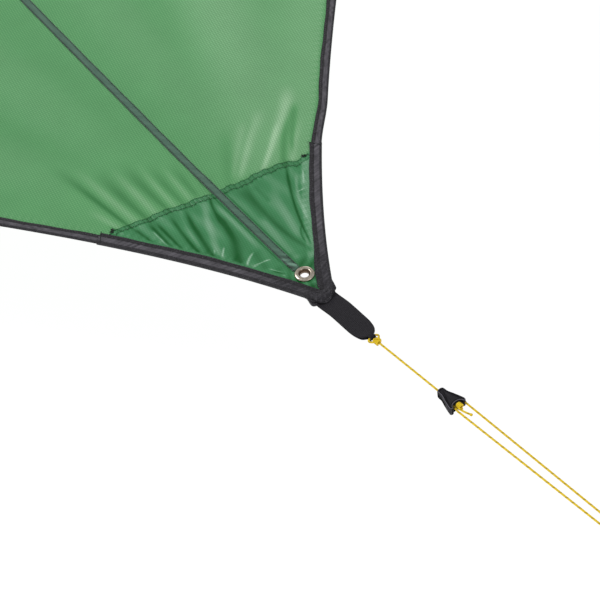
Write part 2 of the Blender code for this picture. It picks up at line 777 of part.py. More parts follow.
def smooth_route(points, spacing):
    """Evenly spaced points on a Catmull-Rom curve through the given points."""
    padded = [points[0] * 2 - points[1]] + points + [points[-1] * 2 - points[-2]]
    dense = []
    for a, b, c, d in zip(padded, padded[1:], padded[2:], padded[3:]):
        for i in range(24):
            t = i / 24
            bent = (a * 2 - b * 5 + c * 4 - d) * t**2 + (b * 3 - a - c * 3 + d) * t**3
            dense.append((b * 2 + (c - a) * t + bent) / 2)
    dense.append(points[-1])
    lengths = [0.0]
    for a, b in zip(dense, dense[1:]):
        lengths.append(lengths[-1] + (b - a).length)
    count = max(2, round(lengths[-1] / spacing))
    route = []
    j = 0
    for i in range(count + 1):
        target = lengths[-1] * i / count
        while j < len(lengths) - 2 and lengths[j + 1] < target:
            j += 1
        share = (target - lengths[j]) / (lengths[j + 1] - lengths[j])
        route.append(dense[j].lerp(dense[j + 1], min(share, 1.0)))
    return route


def add_cord(name, points, parent, radii=None):
    curve = bpy.data.curves.new(name, "CURVE")
    curve.dimensions = "3D"
    curve.bevel_depth = CORD_RADIUS
    curve.bevel_resolution = 2
    curve.use_fill_caps = True
    spline = curve.splines.new("POLY")
    spline.points.add(len(points) - 1)
    for i, point in enumerate(points):
        spline.points[i].co = (*point, 1.0)
        spline.points[i].radius = radii[i] if radii else 1.0
    return add_object(name, curve, "cord", parent)


def tube_rings(points, radius, sides=8):
    """Rings round a route that stays in one plane of constant Z."""
    rings = []
    for i, point in enumerate(points):
        before = points[max(i - 1, 0)]
        after = points[min(i + 1, len(points) - 1)]
        ahead = (after - before).normalized()
        aside = Vector((-ahead.y, ahead.x, 0.0))
        ring = []
        for j in range(sides):
            angle = 2.0 * math.pi * j / sides
            turned_to = aside * math.cos(angle) + Vector((0.0, 0.0, 1.0)) * math.sin(angle)
            ring.append(point + turned_to * radius)
        rings.append(ring)
    return rings


def ball_mesh(name, centre, half_sizes, segments=14, rings=9):
    bm = bmesh.new()
    bmesh.ops.create_uvsphere(bm, u_segments=segments, v_segments=rings, radius=1.0)
    bmesh.ops.scale(bm, vec=half_sizes, verts=bm.verts)
    bmesh.ops.translate(bm, vec=centre, verts=bm.verts)
    mesh = bpy.data.meshes.new(name)
    bm.to_mesh(mesh)
    bm.free()
    return mesh


def make_anchor_knot(eye):
    """The line's bight through the eye, and the knot that closes it."""
    outside = LOOP_TIP_WIDTH / 2 + CORD_RADIUS + EYE_CLEARANCE
    half = [
        Vector((KNOT_DISTANCE - 0.001, 0.0012, 0.0)),
        Vector((KNOT_DISTANCE * 0.55, outside * 0.66, 0.0)),
        Vector((CORD_DIAMETER * 1.2, outside + 0.0004, 0.0)),
        Vector((CORD_DIAMETER * 0.25, outside + 0.0002, 0.0)),
        Vector((0.0, outside - CORD_DIAMETER, 0.0)),
    ]
    other = [Vector((point.x, -point.y, 0.0)) for point in reversed(half)]
    bight = add_cutter("anchor_bight", loft("anchor_bight", tube_rings(half + other, CORD_RADIUS)), eye)
    ball = ball_mesh("anchor_knot", (KNOT_DISTANCE, 0.0, 0.0), (KNOT_RADIUS, KNOT_RADIUS * 1.05, KNOT_RADIUS))
    knot = add_object("anchor_knot", ball, "cord", eye)
    add_boolean(knot, bight, "UNION")


def tensioner_outline():
    """Plan of the moulding, nose at the origin, its mouth between two lobes at the far end."""
    waist = NOSE_HALF_WIDTH * 1.12
    length = TENSIONER_LENGTH
    side = [
        (0.0, NOSE_HALF_WIDTH * 0.62),
        (0.0012, NOSE_HALF_WIDTH),
        (length * 0.30, waist),
        (length * 0.55, waist * 1.38),
        (length * 0.78, LOBE_HALF_WIDTH * 0.86),
        (length * 0.90, LOBE_HALF_WIDTH),
        (length * 0.975, LOBE_HALF_WIDTH * 0.97),
        (length, LOBE_HALF_WIDTH * 0.84),
        (length, LOBE_HALF_WIDTH * 0.68),
        (length - MOUTH_DEPTH * 0.45, LOBE_HALF_WIDTH * 0.54),
        (length - MOUTH_DEPTH, LOBE_HALF_WIDTH * 0.30),
    ]
    return [(x, -y) for x, y in side] + [(x, y) for x, y in reversed(side)]


def make_tensioner(nose, mouth_line, lobe_line):
    half = TENSIONER_THICKNESS / 2
    mesh = prism("line_tensioner", tensioner_outline(), -half, half)
    body = add_object("line_tensioner", mesh, "moulding", nose)
    bevel = body.modifiers.new("rounding", "BEVEL")
    bevel.width = TENSIONER_ROUNDING
    bevel.segments = 2
    bevel.limit_method = "ANGLE"
    bevel.angle_limit = math.radians(50.0)
    ahead = (mouth_line[1] - mouth_line[0]).normalized()
    past = 2.0 * CORD_DIAMETER
    bore_ends = [mouth_line[0] - ahead * past, mouth_line[0] + ahead * (TENSIONER_LENGTH + past)]
    back = (lobe_line[1] - lobe_line[0]).normalized()
    socket_ends = [lobe_line[0] - back * CLEARANCE, lobe_line[0] + back * SOCKET_DEPTH]
    for name, ends in (("tensioner_bore", bore_ends), ("tensioner_socket", socket_ends)):
        add_boolean(body, add_cutter(name, loft(name, tube_rings(ends, BORE_RADIUS, 12)), nose))


def make_guyline(eye):
    """Everything on the line, from the knot at the eye to the bend that goes round a peg."""
    spacing = 2.7 * CORD_DIAMETER
    make_anchor_knot(eye)
    line_start = LINE_START - EYE_CENTRE
    nose_x = NOSE - EYE_CENTRE
    line_end = nose_x + 0.0015
    add_cord("upper_line", smooth_route([Vector((line_start, 0, 0)), Vector((line_end, 0, 0))], spacing), eye)

    nose = add_empty("tensioner_nose", Matrix.Translation((nose_x, 0.0, 0.0)), eye)
    peg_x = PEG_LOOP_REACH - CORD_RADIUS - NOSE
    bend_x = peg_x - PEG_BEND_RADIUS
    centre = (LOBE_LINE_OFFSET + MOUTH_LINE_OFFSET) / 2
    lobe_start = Vector((TENSIONER_LENGTH - 0.003, LOBE_LINE_OFFSET, 0.0))
    mouth_start = Vector((0.0015 + CLEARANCE, 0.0, 0.0))
    mouth_exit = Vector((TENSIONER_LENGTH, MOUTH_LINE_OFFSET, 0.0))
    bend = []
    for i in range(7):
        angle = math.pi / 2 - math.pi * i / 6
        turned_to = Vector((math.cos(angle), math.sin(angle), 0.0))
        bend.append(Vector((bend_x, centre, 0.0)) + turned_to * PEG_BEND_RADIUS)
    upper_end = bend[0]
    lower_end = bend[-1]
    go = [lobe_start] + [lobe_start.lerp(upper_end, share) for share in (0.25, 0.5, 0.75, 0.95)]
    back = [mouth_exit.lerp(lower_end, share) for share in (0.95, 0.75, 0.5, 0.25, 0.03)]
    entry = [mouth_exit.lerp(mouth_start, share) for share in (0.0, 0.25, 0.6, 1.0)]
    route = smooth_route(go + bend + back + entry, spacing)
    add_cord("peg_loop", route, nose)
    make_tensioner(nose, (mouth_start, mouth_exit), (lobe_start, upper_end))

    mouth_floor = TENSIONER_LENGTH - MOUTH_DEPTH
    stopper_at = Vector((mouth_floor + CLEARANCE + STOPPER_LENGTH / 2, STOPPER_ASIDE, STOPPER_RISE))
    half_sizes = (STOPPER_LENGTH / 2, STOPPER_WIDTH / 2, STOPPER_WIDTH / 2)
    add_object("stopper_knot", ball_mesh("stopper_knot", stopper_at, half_sizes, 12, 8), "cord", nose)
    tail_start = stopper_at + Vector((STOPPER_LENGTH / 2 + CLEARANCE, 0.0, 0.0))
    tail_middle = tail_start + Vector((TAIL_LENGTH / 2, TAIL_ASIDE * 0.3, TAIL_RISE * 0.7))
    tail_end = tail_start + Vector((TAIL_LENGTH, TAIL_ASIDE, TAIL_RISE))
    tail = smooth_route([tail_start, tail_middle, tail_end], 0.6 * CORD_DIAMETER)
    radii = [1.0] * (len(tail) - 2) + [TAIL_RADIUS_GROWTH, TAIL_RADIUS_GROWTH * 0.8]
    add_cord("line_tail", tail, nose, radii)


def main():
    clear_scene()
    slope = Matrix.Rotation(PITCH_ANGLE, 4, "X")
    held = CORNERS[2].eyelet_place()
    pitch = add_empty("pitch", slope @ Matrix.Translation(-held))
    eyelet = eyelet_mesh()
    washer = washer_mesh()
    webbing = webbing_mesh()
    hole = prism("eyelet_hole", circle_points(EYELET_HOLE, ROUND_SIDES), -0.01, 0.01)
    hole_cutters = {}
    for corner in CORNERS:
        place = Matrix.Translation(corner.place.to_3d())
        frame = add_empty("pull_" + corner.name, place @ Matrix.Rotation(corner.pull, 4, "Z"), pitch)
        tip_frame = add_empty("tip_" + corner.name, place @ Matrix.Rotation(corner.tip, 4, "Z"), pitch)
        centre = corner.eyelet_place()
        hole_cutters[corner.name] = add_cutter("eyelet_hole_" + corner.name, hole, pitch, centre)
        for name, mesh, finish in (("eyelet_", eyelet, "nickel"), ("washer_", washer, "nickel")):
            copy = mesh.copy()
            copy.name = name + corner.name
            add_object(copy.name, copy, finish, pitch, centre)
        strap = webbing.copy()
        strap.name = "webbing_loop_" + corner.name
        add_object(strap.name, strap, "webbing", frame)
        make_cap(corner, tip_frame)
        make_patch(corner, pitch, hole_cutters[corner.name])
        make_corner_tape(corner, False, pitch)
        make_corner_tape(corner, True, pitch)
        if corner.seam_side > 0:
            make_guyline(add_empty("guyline_eye", Matrix.Translation((EYE_CENTRE, 0.0, LOOP_LEVEL)), frame))
    for index in range(len(CORNERS)):
        make_edge_tape(index, pitch)
    make_panels(pitch, hole_cutters)
    make_seam(pitch)


def circle_points(radius, count):
    turns = [2.0 * math.pi * i / count for i in range(count)]
    return [(radius * math.cos(turn), radius * math.sin(turn)) for turn in turns]


main()
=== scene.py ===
"""Looks of the camping tarp: stretched ripstop with its folds, puckered patches and tapes, thread,
ribbed webbing, set eyelets, braided line with its knots, and the line tensioner.

Lengths are metres. As in the model's own source, the canopy is laid out in the plane of the tarp: p
runs along the low edge, q up the slope, h stands on the cloth. The guyed corner is at p = q = 0.
"""

import math

import bmesh
import bpy
import numpy as np
from mathutils import Matrix, Vector


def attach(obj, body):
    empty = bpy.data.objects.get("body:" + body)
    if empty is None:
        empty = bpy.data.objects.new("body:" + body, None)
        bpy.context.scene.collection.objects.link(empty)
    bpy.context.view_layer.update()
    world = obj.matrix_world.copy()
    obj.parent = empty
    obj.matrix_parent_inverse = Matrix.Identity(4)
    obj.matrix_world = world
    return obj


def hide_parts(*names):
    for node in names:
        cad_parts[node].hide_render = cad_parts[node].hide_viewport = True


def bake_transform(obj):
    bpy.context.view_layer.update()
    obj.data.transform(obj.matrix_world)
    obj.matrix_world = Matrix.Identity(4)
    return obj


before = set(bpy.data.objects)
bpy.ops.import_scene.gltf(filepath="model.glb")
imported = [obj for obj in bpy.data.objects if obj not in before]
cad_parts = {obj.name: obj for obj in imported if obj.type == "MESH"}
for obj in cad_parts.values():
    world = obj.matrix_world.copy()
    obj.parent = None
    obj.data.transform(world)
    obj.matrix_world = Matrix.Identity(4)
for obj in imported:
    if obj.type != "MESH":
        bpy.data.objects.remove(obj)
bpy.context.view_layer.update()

# Canopy, as in the model's source
SIDE_LENGTH = 3.0
PITCH_ANGLE = math.radians(25.0)
EDGE_SAG = 0.0485
CORNER_FLARE = 0.068
FLARE_REACH = 0.235
RIGHT_EDGE_EASE = 0.0052
TIP_CUT = 0.020
PANEL_INSET = 0.0011
PANEL_GAP = 0.0004
CANOPY_SAG = 0.045
PATCH_REACH_FIRST = 0.264
PATCH_REACH_SECOND = 0.228
PATCH_BOW = 0.006
SEAM_WIDTH = 0.009
SEAM_BEND = 0.0096
SEAM_BEND_REACH = 0.2
SEAM_LENGTH = SIDE_LENGTH * math.sqrt(2.0)
SEAM_FINE_REACH = 0.42
SEAM_CLIMB_END = 0.232
SEAM_CLIMB = 0.012
PULL_TURN = math.radians(6.0)

# Tapes, webbing and eyelets
EDGE_TAPE_WIDTH = 0.010
CORNER_TAPE_WIDTH = 0.0135
CORNER_TAPE_OUTER = -0.0004
CORNER_TAPE_START = 0.012
TAPE_THICKNESS = 0.0006
TAPE_LAP = 0.005
TAPE_GAP = 0.0008
EYELET_SETBACK = 0.057
EYELET_PLACE = EYELET_SETBACK / math.sqrt(2.0)
EYELET_RADIUS = 0.010
EYELET_BORE = 0.0055
EYELET_ROLL = 0.0011
EYELET_HOLE = EYELET_BORE + 0.0009
WASHER_RADIUS = 0.0095
WEBBING_WIDTH = 0.025
WEBBING_THICKNESS = 0.0010
WEBBING_TAIL = 0.042
LOOP_TIP_WIDTH = 0.0086
LOOP_TAPER = 0.028
LOOP_NOTCH = 0.0029
LOOP_LEVEL = -0.0015
EYE_CENTRE = 0.0525
EYE_RADIUS = 0.0015
BOX_HALF_WIDTH = 0.009

# Strip over a tip: places along the pull, and how far its lobe drops past the tip
CAP_TIP = -0.0205
CAP_DROP = 0.0040
LOBE_START = -0.0290
LOBE_END = -0.0136

# Threads: spacing, length and radius of their stitches
SEAM_THREAD = (0.0030, 0.0023, 0.00030)
BORDER_THREAD = (0.0024, 0.0014, 0.00024)
HEM_THREAD = (0.0021, 0.0015, 0.00032)
EDGE_THREAD = (0.0030, 0.0024, 0.0002)
CORNER_THREAD = (0.0028, 0.0022, 0.00022)
LAP_THREAD = (0.0011, 0.0020, 0.00030)
CAP_THREAD = (0.0024, 0.0019, 0.00022)
TIP_THREAD = (0.0022, 0.0018, 0.00024)
BOX_THREAD = (0.0026, 0.0021, 0.00024)

# Guyline and tensioner, measured from the eye
CORD_RADIUS = 0.0011
BRAID_PITCH = 0.0046
FLECK_PITCH = 0.0086
COIL_RADIUS = 0.0026
KNOT_DISTANCE = 0.0079
LINE_START = 0.0127
NOSE = 0.0989
PEG_BEND = 0.2479
PEG_BEND_RADIUS = 0.0046
LOBE_LINE = 0.0100
MOUTH_LINE = -0.0042
TENSIONER_LENGTH = 0.031
NOSE_HALF_WIDTH = 0.0042
MOUTH_DEPTH = 0.006
MOULD_START = -0.0009
MOULD_LENGTH = 0.0283
MOULD_HALF_WIDTH = 0.0101
MOULD_MOUTH = 0.0046
MOULD_HALF_THICKNESS = 0.0049
RIB_PITCH = 0.0019

# Levels of the layers over the middle of the cloth
PANEL_SKIN = 0.0003
PATCH_LEVEL = 0.00085
PATCH_SKIN = 0.00025
EDGE_TAPE_BASE = 0.0006
CORNER_TAPE_BASE = 0.0015
CORNER_TAPE_TOP = 0.0021
SEAM_BASE = 0.0006
PATCH_TOP = 0.0011
FLANGE_CREST = 0.0031
WASHER_TOP = -0.0006
WASHER_BOTTOM = -0.0016
CURL_BOTTOM = -0.0025
WEBBING_TOP = -0.0024
WEBBING_BOTTOM = -0.0047

# Cloth: millimetres for a height of 1 in the folds' table, how far folds and cuts reach from a
# corner or its eyelet, the patches' sewn border, and the weave
FOLD_DEPTH = 0.13
FOLD_REACH = 1.75
TIP_REACH = 0.3
RIM_REACH = 0.02
RIM_STEP = 0.0035
PANEL_STEP = 0.0032
PANEL_FINE_REACH = 0.155 * SIDE_LENGTH
BORDER_WIDTH = 0.0080
PUCKER_LENGTH = 0.0062
RIPSTOP_CELL = 0.0027
WEAVE_TURN = 14000.0

# Camera, in the photograph's frame of 600 by 600 pixels
CAMERA_AZIMUTH = math.radians(11.0)
CAMERA_ELEVATION = math.radians(23.8)
CAMERA_ROLL = math.radians(0.2)
CAMERA_DISTANCE = 3.0
CAMERA_OFFSET = (-0.0372, 0.0079)
CAMERA_LENS = 180.0
FLOOR_LEVEL = -1.3607
FLOOR_REACH = 40.0

FULL_TURN = 2.0 * math.pi


def smooth(value, start, end):
    """A soft step from 0 at the start to 1 at the end."""
    share = np.clip((value - start) / (end - start), 0.0, 1.0)
    return share * share * (3.0 - 2.0 * share)


def fade(value, start, end):
    """A soft step from 1 at the start to 0 at the end."""
    return 1.0 - smooth(value, start, end)


def between(value, start, full, fading, end):
    """Rises softly from the start until full, and fades away until the end."""
    return smooth(value, start, full) * fade(value, fading, end)


def hump(value, middle, width):
    """1 at the middle, falling away on both sides."""
    return np.exp(-(((value - middle) / width) ** 2))


def stack(*parts):
    return np.stack(np.broadcast_arrays(*parts), -1)


def unit(vectors):
    return vectors / np.linalg.norm(vectors, axis=-1, keepdims=True)


def run_length(points):
    """How far along a path each of its points lies."""
    steps = np.linalg.norm(np.diff(points, axis=0), axis=1)
    return np.concatenate([[0.0], np.cumsum(steps)])


def with_level(flat, level):
    """Points (p, q, h) from places (p, q) and their levels."""
    return np.concatenate([flat, level[..., None]], -1)


# Layout of the canopy, as in the model's source, for arrays of points


def edge_offset(distance):
    other = SIDE_LENGTH - distance
    sag = 4.0 * EDGE_SAG * distance * other / SIDE_LENGTH**2
    near_end = 1.0 - np.exp(-distance / FLARE_REACH)
    far_end = 1.0 - np.exp(-other / FLARE_REACH)
    return sag + CORNER_FLARE * near_end * far_end


def edge_slope(distance):
    return (edge_offset(distance + 1e-4) - edge_offset(distance - 1e-4)) / 2e-4


def edge_distance(radius, inset=0.0):
    distance = radius
    for _ in range(12):
        distance = np.sqrt(np.maximum(radius**2 - (edge_offset(distance) + inset) ** 2, 0.0))
    return distance


def seam_bend(reach):
    return SEAM_BEND * (1.0 - np.exp(-reach / SEAM_BEND_REACH)) * (1.0 - reach / SEAM_LENGTH)


def seam_place(reach, aside=0.0):
    across = seam_bend(reach) - aside
    return stack(-reach - across, reach - across) / math.sqrt(2.0)


def patch_reach(share):
    first = edge_distance(PATCH_REACH_FIRST)
    second = edge_distance(PATCH_REACH_SECOND)
    turn = (share + 1.0) / 2.0
    x = first + (edge_offset(second) - first) * turn
    y = edge_offset(first) + (second - edge_offset(first)) * turn
    return np.hypot(x, y) - PATCH_BOW * (1.0 - share**2)


def border_reach(share, phase):
    """Reach of a patch's border, which wanders a little and runs out beside the first tape."""
    bulge = 0.0062 * between(share, -0.97, -0.90, 0.55, 0.78)
    dip = 0.0040 * hump(share, 0.80, 0.09)
    ear = 0.0035 * hump(share, -0.87, 0.03)
    wobble = 0.0010 * np.sin(share * 21.0 + phase) + 0.0006 * np.sin(share * 53.0 - phase)
    return patch_reach(share) + bulge - dip + ear + wobble * fade(np.abs(share), 0.90, 0.97)


def belly_level(flat):
    p, q = flat[..., 0], flat[..., 1]
    # The cloth sags most where the product of the distances to the edges and the seam is largest
    across = edge_offset(np.clip(-p, 0.0, SIDE_LENGTH))
    up = edge_offset(np.clip(q, 0.0, SIDE_LENGTH))
    low = (q - across) * (SIDE_LENGTH + p - up)
    high = (-p - up) * (SIDE_LENGTH - q - across)
    off_seam = (p + q) / math.sqrt(2.0)
    nearest = np.maximum(np.where(off_seam < 0.0, low, high), 0.0)
    share = nearest * np.abs(off_seam) * math.sqrt(2.0) * 27.0 / SIDE_LENGTH**3
    return -CANOPY_SAG * np.minimum(share, 1.0) ** 2


class Corner:
    """One corner: its place, the directions of its two edges, and the pull of its loop.

    The seam starts at a corner whose seam_side is 1, and ends where it is -1.
    """

    def __init__(self, name, place, heading, turn=0.0, seam_side=0):
        self.name = name
        self.place = np.array(place)
        self.first = np.array((math.cos(heading), math.sin(heading)))
        self.second = np.array((math.sin(heading), -math.cos(heading)))
        self.middle = heading + math.radians(135.0)
        self.pull = self.middle + turn
        self.tip = self.middle + turn / 2.0
        self.seam_side = seam_side
        self.folds = []

    def on_plane(self, x, y, mirrored=False):
        """Places (p, q) from distances along the first and second edge, or swapped if mirrored."""
        if mirrored:
            x, y = y, x
        return self.place + np.asarray(x)[..., None] * self.first + np.asarray(y)[..., None] * self.second

    def in_corner(self, flat):
        offset = flat - self.place
        return offset @ self.first, offset @ self.second

    def seam_angle(self, radius):
        if self.seam_side == 0:
            return np.full_like(radius, math.pi / 4)
        reach = radius if self.seam_side > 0 else SEAM_LENGTH - radius
        return math.pi / 4 - self.seam_side * np.arcsin(seam_bend(reach) / radius)

    def fan_angles(self, radius):
        """The angles of the first edge, the seam and the second edge at a distance."""
        along = edge_distance(radius, PANEL_INSET)
        low = np.arctan2(edge_offset(along) + PANEL_INSET, along)
        return low, self.seam_angle(radius), math.pi / 2 - low

    def fan_point(self, radius, share):
        """Places (p, q) by distance and share, from -1 at the first edge to 1 at the second."""
        low, middle, high = self.fan_angles(radius)
        angle = middle + np.where(share <= 0.0, middle - low, high - middle) * share
        return self.on_plane(radius * np.cos(angle), radius * np.sin(angle))

    def fan_share(self, x, y):
        angle = np.arctan2(y, x)
        low, middle, high = self.fan_angles(np.maximum(np.hypot(x, y), 1e-4))
        share = (angle - middle) / np.where(angle <= middle, middle - low, high - middle)
        return np.clip(share, -1.2, 1.2)

    def eyelet_place(self):
        return self.on_plane(EYELET_PLACE, EYELET_PLACE)


CORNERS = (
    Corner("front_right", (0.0, 0.0), math.pi, PULL_TURN, 1),
    Corner("front_left", (-SIDE_LENGTH, 0.0), math.pi / 2),
    Corner("back_left", (-SIDE_LENGTH, SIDE_LENGTH), 0.0, seam_side=-1),
    Corner("back_right", (0.0, SIDE_LENGTH), -math.pi / 2),
)
GUYED, FRONT_LEFT, BACK_LEFT, BACK_RIGHT = CORNERS
EDGE_NAMES = ("low", "left", "high", "right")

held = BACK_LEFT.eyelet_place()
PITCH = Matrix.Rotation(PITCH_ANGLE, 4, "X") @ Matrix.Translation((-held[0], -held[1], 0.0))
CLOTH_UP = (PITCH.to_3x3() @ Vector((0.0, 0.0, 1.0))).normalized()


def to_row_frame(points):
    """Points (p, q, h) of the tarp's plane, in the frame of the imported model.

    Above the guyed patch the right edge stands a little further out than the others, as pictured.
    """
    points = np.array(points, dtype=float)
    up_edge = between(points[..., 1], 0.222, 0.292, 0.55, 1.5)
    points[..., 0] += RIGHT_EDGE_EASE * up_edge * fade(-points[..., 0], 0.09, 0.30)
    matrix = np.array(PITCH)
    return points @ matrix[:3, :3].T + matrix[:3, 3]


def pulled(corner, along, lateral, level, angle):
    """Points (p, q, h) from places along a direction out of a corner, and across it."""
    p = corner.place[0] + along * math.cos(angle) - lateral * math.sin(angle)
    q = corner.place[1] + along * math.sin(angle) + lateral * math.cos(angle)
    return stack(p, q, level)


# Folds of the guyed corner, as the photograph shows them. Each runs between two places, given as
# the distance from the corner in millimetres and the angle from the low edge in degrees. It bows
# to its left by some millimetres, has a half width at each end, a height, and a tone: painted
# shade that darkens a groove, painted light that lightens a ridge. The short rows with strong
# light tones are painted glints on small creases.
PHOTO_FOLDS = (
    # left half of the canopy
    ((366, 25.9), (250, 20.6), 0, (6.0, 2.2), -1.5, -0.80),
    ((352, 28.0), (246, 22.6), 0, (6.0, 3.5), 0.8, 0.30),
    ((330, 29.6), (238, 24.7), 1, (9.0, 3.0), -1.3, -0.60),
    ((318, 31.6), (235, 27.3), 0, (6.0, 3.5), 0.7, 0.32),
    ((314, 33.9), (231, 30.2), 1, (8.0, 3.0), -1.1, -0.55),
    ((300, 35.6), (228, 32.2), 0, (5.0, 3.0), 0.5, 0.28),
    ((292, 37.2), (224, 34.4), 1, (7.0, 3.0), -0.9, -0.45),
    ((280, 38.9), (222, 36.6), 0, (4.0, 3.0), 0.4, 0.25),
    ((275, 40.6), (222, 38.8), 0, (6.0, 3.0), -0.7, -0.40),
    ((300, 20.6), (256, 18.9), 0, (5.0, 2.5), 0.6, 0.30),
    ((268, 18.3), (252, 18.2), 0, (1.2, 1.2), -0.5, -0.80),
    # low half of the patch
    ((240, 20.2), (214, 18.2), 0, (2.2, 1.6), -1.2, -0.85),
    ((231, 23.2), (188, 18.2), 0, (2.6, 1.7), -1.6, -1.05),
    ((223, 21.7), (200, 19.1), 0, (0.8, 0.7), 0.5, 0.90),
    ((225, 24.5), (176, 18.6), 0, (2.2, 1.8), -1.5, -1.00),
    ((218, 28.2), (156, 19.3), 1, (2.8, 2.2), -1.7, -1.00),
    ((213, 30.5), (166, 23.0), 1, (2.0, 2.0), 0.6, 0.20),
    ((214, 32.8), (142, 20.6), 2, (2.4, 4.2), -2.2, -1.05),
    ((205, 37.6), (146, 23.6), 0, (3.6, 4.6), 1.9, 0.45),
    ((208, 40.7), (172, 36.8), 2, (1.3, 3.0), -1.5, -1.05),
    ((180, 37.6), (119, 23.6), -4, (3.6, 6.4), -2.1, -1.00),
    ((196, 40.3), (128, 37.9), 0, (2.0, 2.5), 0.6, 0.30),
    ((118, 35.0), (92, 29.0), 1, (5.0, 4.0), -0.8, -0.35),
    ((146, 27.8), (140, 23.5), 0, (0.7, 0.8), 0.5, 1.30),
    ((152, 24.6), (149, 23.0), 0, (0.6, 0.7), 0.4, 0.90),
    ((117, 33.4), (111, 24.8), 1, (0.8, 1.1), 0.6, 1.35),
    ((97, 35.6), (104, 25.6), 1, (0.7, 1.0), 0.5, 1.10),
    ((89, 29.5), (76, 32.5), 0, (0.6, 0.6), 0.4, 0.80),
    ((84, 29.0), (72, 33.0), 0, (0.6, 0.6), -0.5, -0.80),
    ((80, 27.5), (70, 31.0), 0, (0.6, 0.6), 0.4, 0.60),
    # high half of the patch
    ((206, 51.6), (90, 60.0), 7, (4.2, 3.0), -1.8, -0.60),
    ((194, 53.8), (168, 55.2), 0, (2.6, 2.6), -0.8, -0.35),
    ((198, 49.4), (150, 49.0), 0, (4.0, 3.0), -0.6, -0.30),
    ((185, 58.5), (112, 58.6), 0, (6.0, 4.0), 0.8, 0.28),
    ((211, 65.6), (94, 63.6), 4, (2.0, 1.3), -2.3, -1.10),
    ((190, 67.3), (130, 66.6), 3, (1.8, 1.6), 0.9, 0.45),
    ((120, 62.4), (98, 61.0), 2, (0.9, 0.9), -0.8, -0.75),
    ((150, 48.6), (80, 50.0), 0, (5.0, 4.0), 0.5, 0.22),
    ((196, 69.8), (180, 69.2), 0, (0.7, 0.7), 0.4, 0.90),
    ((170, 68.6), (168, 66.4), 0, (0.6, 0.6), 0.4, 0.80),
    # right half of the canopy
    ((203, 56.8), (310, 69.4), 4, (1.6, 7.0), 2.0, 0.62),
    ((207, 57.4), (266, 66.0), 2, (0.9, 1.8), 1.0, 0.50),
    ((214, 52.1), (290, 62.8), 0, (3.0, 7.0), 1.6, 0.34),
    ((215, 49.7), (280, 59.3), 0, (3.0, 6.0), 1.2, 0.26),
    ((214, 50.9), (284, 60.9), 0, (1.6, 3.6), -1.4, -0.24),
    ((226, 68.4), (292, 70.4), 0, (2.0, 4.0), -1.6, -0.45),
    ((300, 69.8), (212, 64.8), 0, (4.5, 3.2), -1.4, -0.55),
    ((276, 71.8), (210, 67.4), 0, (3.5, 3.0), 0.7, 0.30),
    ((275, 61.1), (214, 51.8), 0, (5.0, 4.0), 0.6, 0.24),
    ((292, 56.0), (214, 48.6), 0, (8.0, 5.0), -0.5, -0.22),
)


class Fold:
    """A soft groove or ridge between two places of a corner, in metres, with painted shade in a groove and
    painted light on a ridge.
    """

    def __init__(self, start, end, bow, widths, height, tone):
        radius, angle = np.array((start, end), dtype=float).T
        ends = stack(np.cos(np.radians(angle)), np.sin(np.radians(angle))) * radius[:, None] / 1000.0
        self.start = ends[0]
        self.length = np.linalg.norm(ends[1] - ends[0])
        self.ahead = (ends[1] - ends[0]) / self.length
        self.bow = bow / 1000.0
        self.widths = (widths[0] / 1000.0, widths[1] / 1000.0)
        self.height = height * FOLD_DEPTH / 1000.0
        self.tone = tone
        # A fold that starts out in the canopy fades in over more of its length
        self.full = 0.60 if start[0] > 244.0 else 0.20

    def weight(self, x, y):
        """How much of the fold's height and tone a point has."""
        dx = x - self.start[0]
        dy = y - self.start[1]
        along = (dx * self.ahead[0] + dy * self.ahead[1]) / self.length
        aside = dy * self.ahead[0] - dx * self.ahead[1]
        aside = aside - self.bow * 4.0 * along * (1.0 - along)
        width = self.widths[0] + (self.widths[1] - self.widths[0]) * np.clip(along, 0.0, 1.0)
        return hump(aside, 0.0, width) * between(along, -0.12, self.full, 0.90, 1.20)


def scattered_folds(seed):
    """Folds of a corner that the photograph doesn't show, of the same kind."""
    rng = np.random.default_rng(seed)
    folds = []
    for middle in np.linspace(19.0, 71.0, 15):
        angle = middle + rng.uniform(-1.5, 1.5)
        towards = 45.0 + (angle - 45.0) * rng.uniform(0.80, 0.95)
        depth = rng.uniform(0.6, 2.0)
        # Each groove takes painted shade of this strength, and the ridges beside it painted light
        tone = rng.uniform(0.4, 0.95)
        if abs(angle - 45.0) < 4.0:
            continue
        end = (rng.uniform(110, 165), towards)
        folds.append(((212, angle), end, rng.uniform(-3, 3), (2.6, 3.4), -depth, -tone))
        angle = middle + rng.uniform(-1.5, 1.5)
        reach = rng.uniform(290, 370)
        bow = rng.uniform(-2, 2)
        folds.append(((reach, angle), (240, angle), bow, (7.0, 3.2), -depth * 0.7, -tone * 0.6))
        folds.append(((reach, angle + 2.0), (236, angle + 1.8), 0, (6.0, 3.6), depth * 0.4, tone * 0.35))
    return folds


GUYED.folds = [Fold(*row) for row in PHOTO_FOLDS]
for number, corner in enumerate(CORNERS[1:]):
    corner.folds = [Fold(*row) for row in scattered_folds(number + 3)]


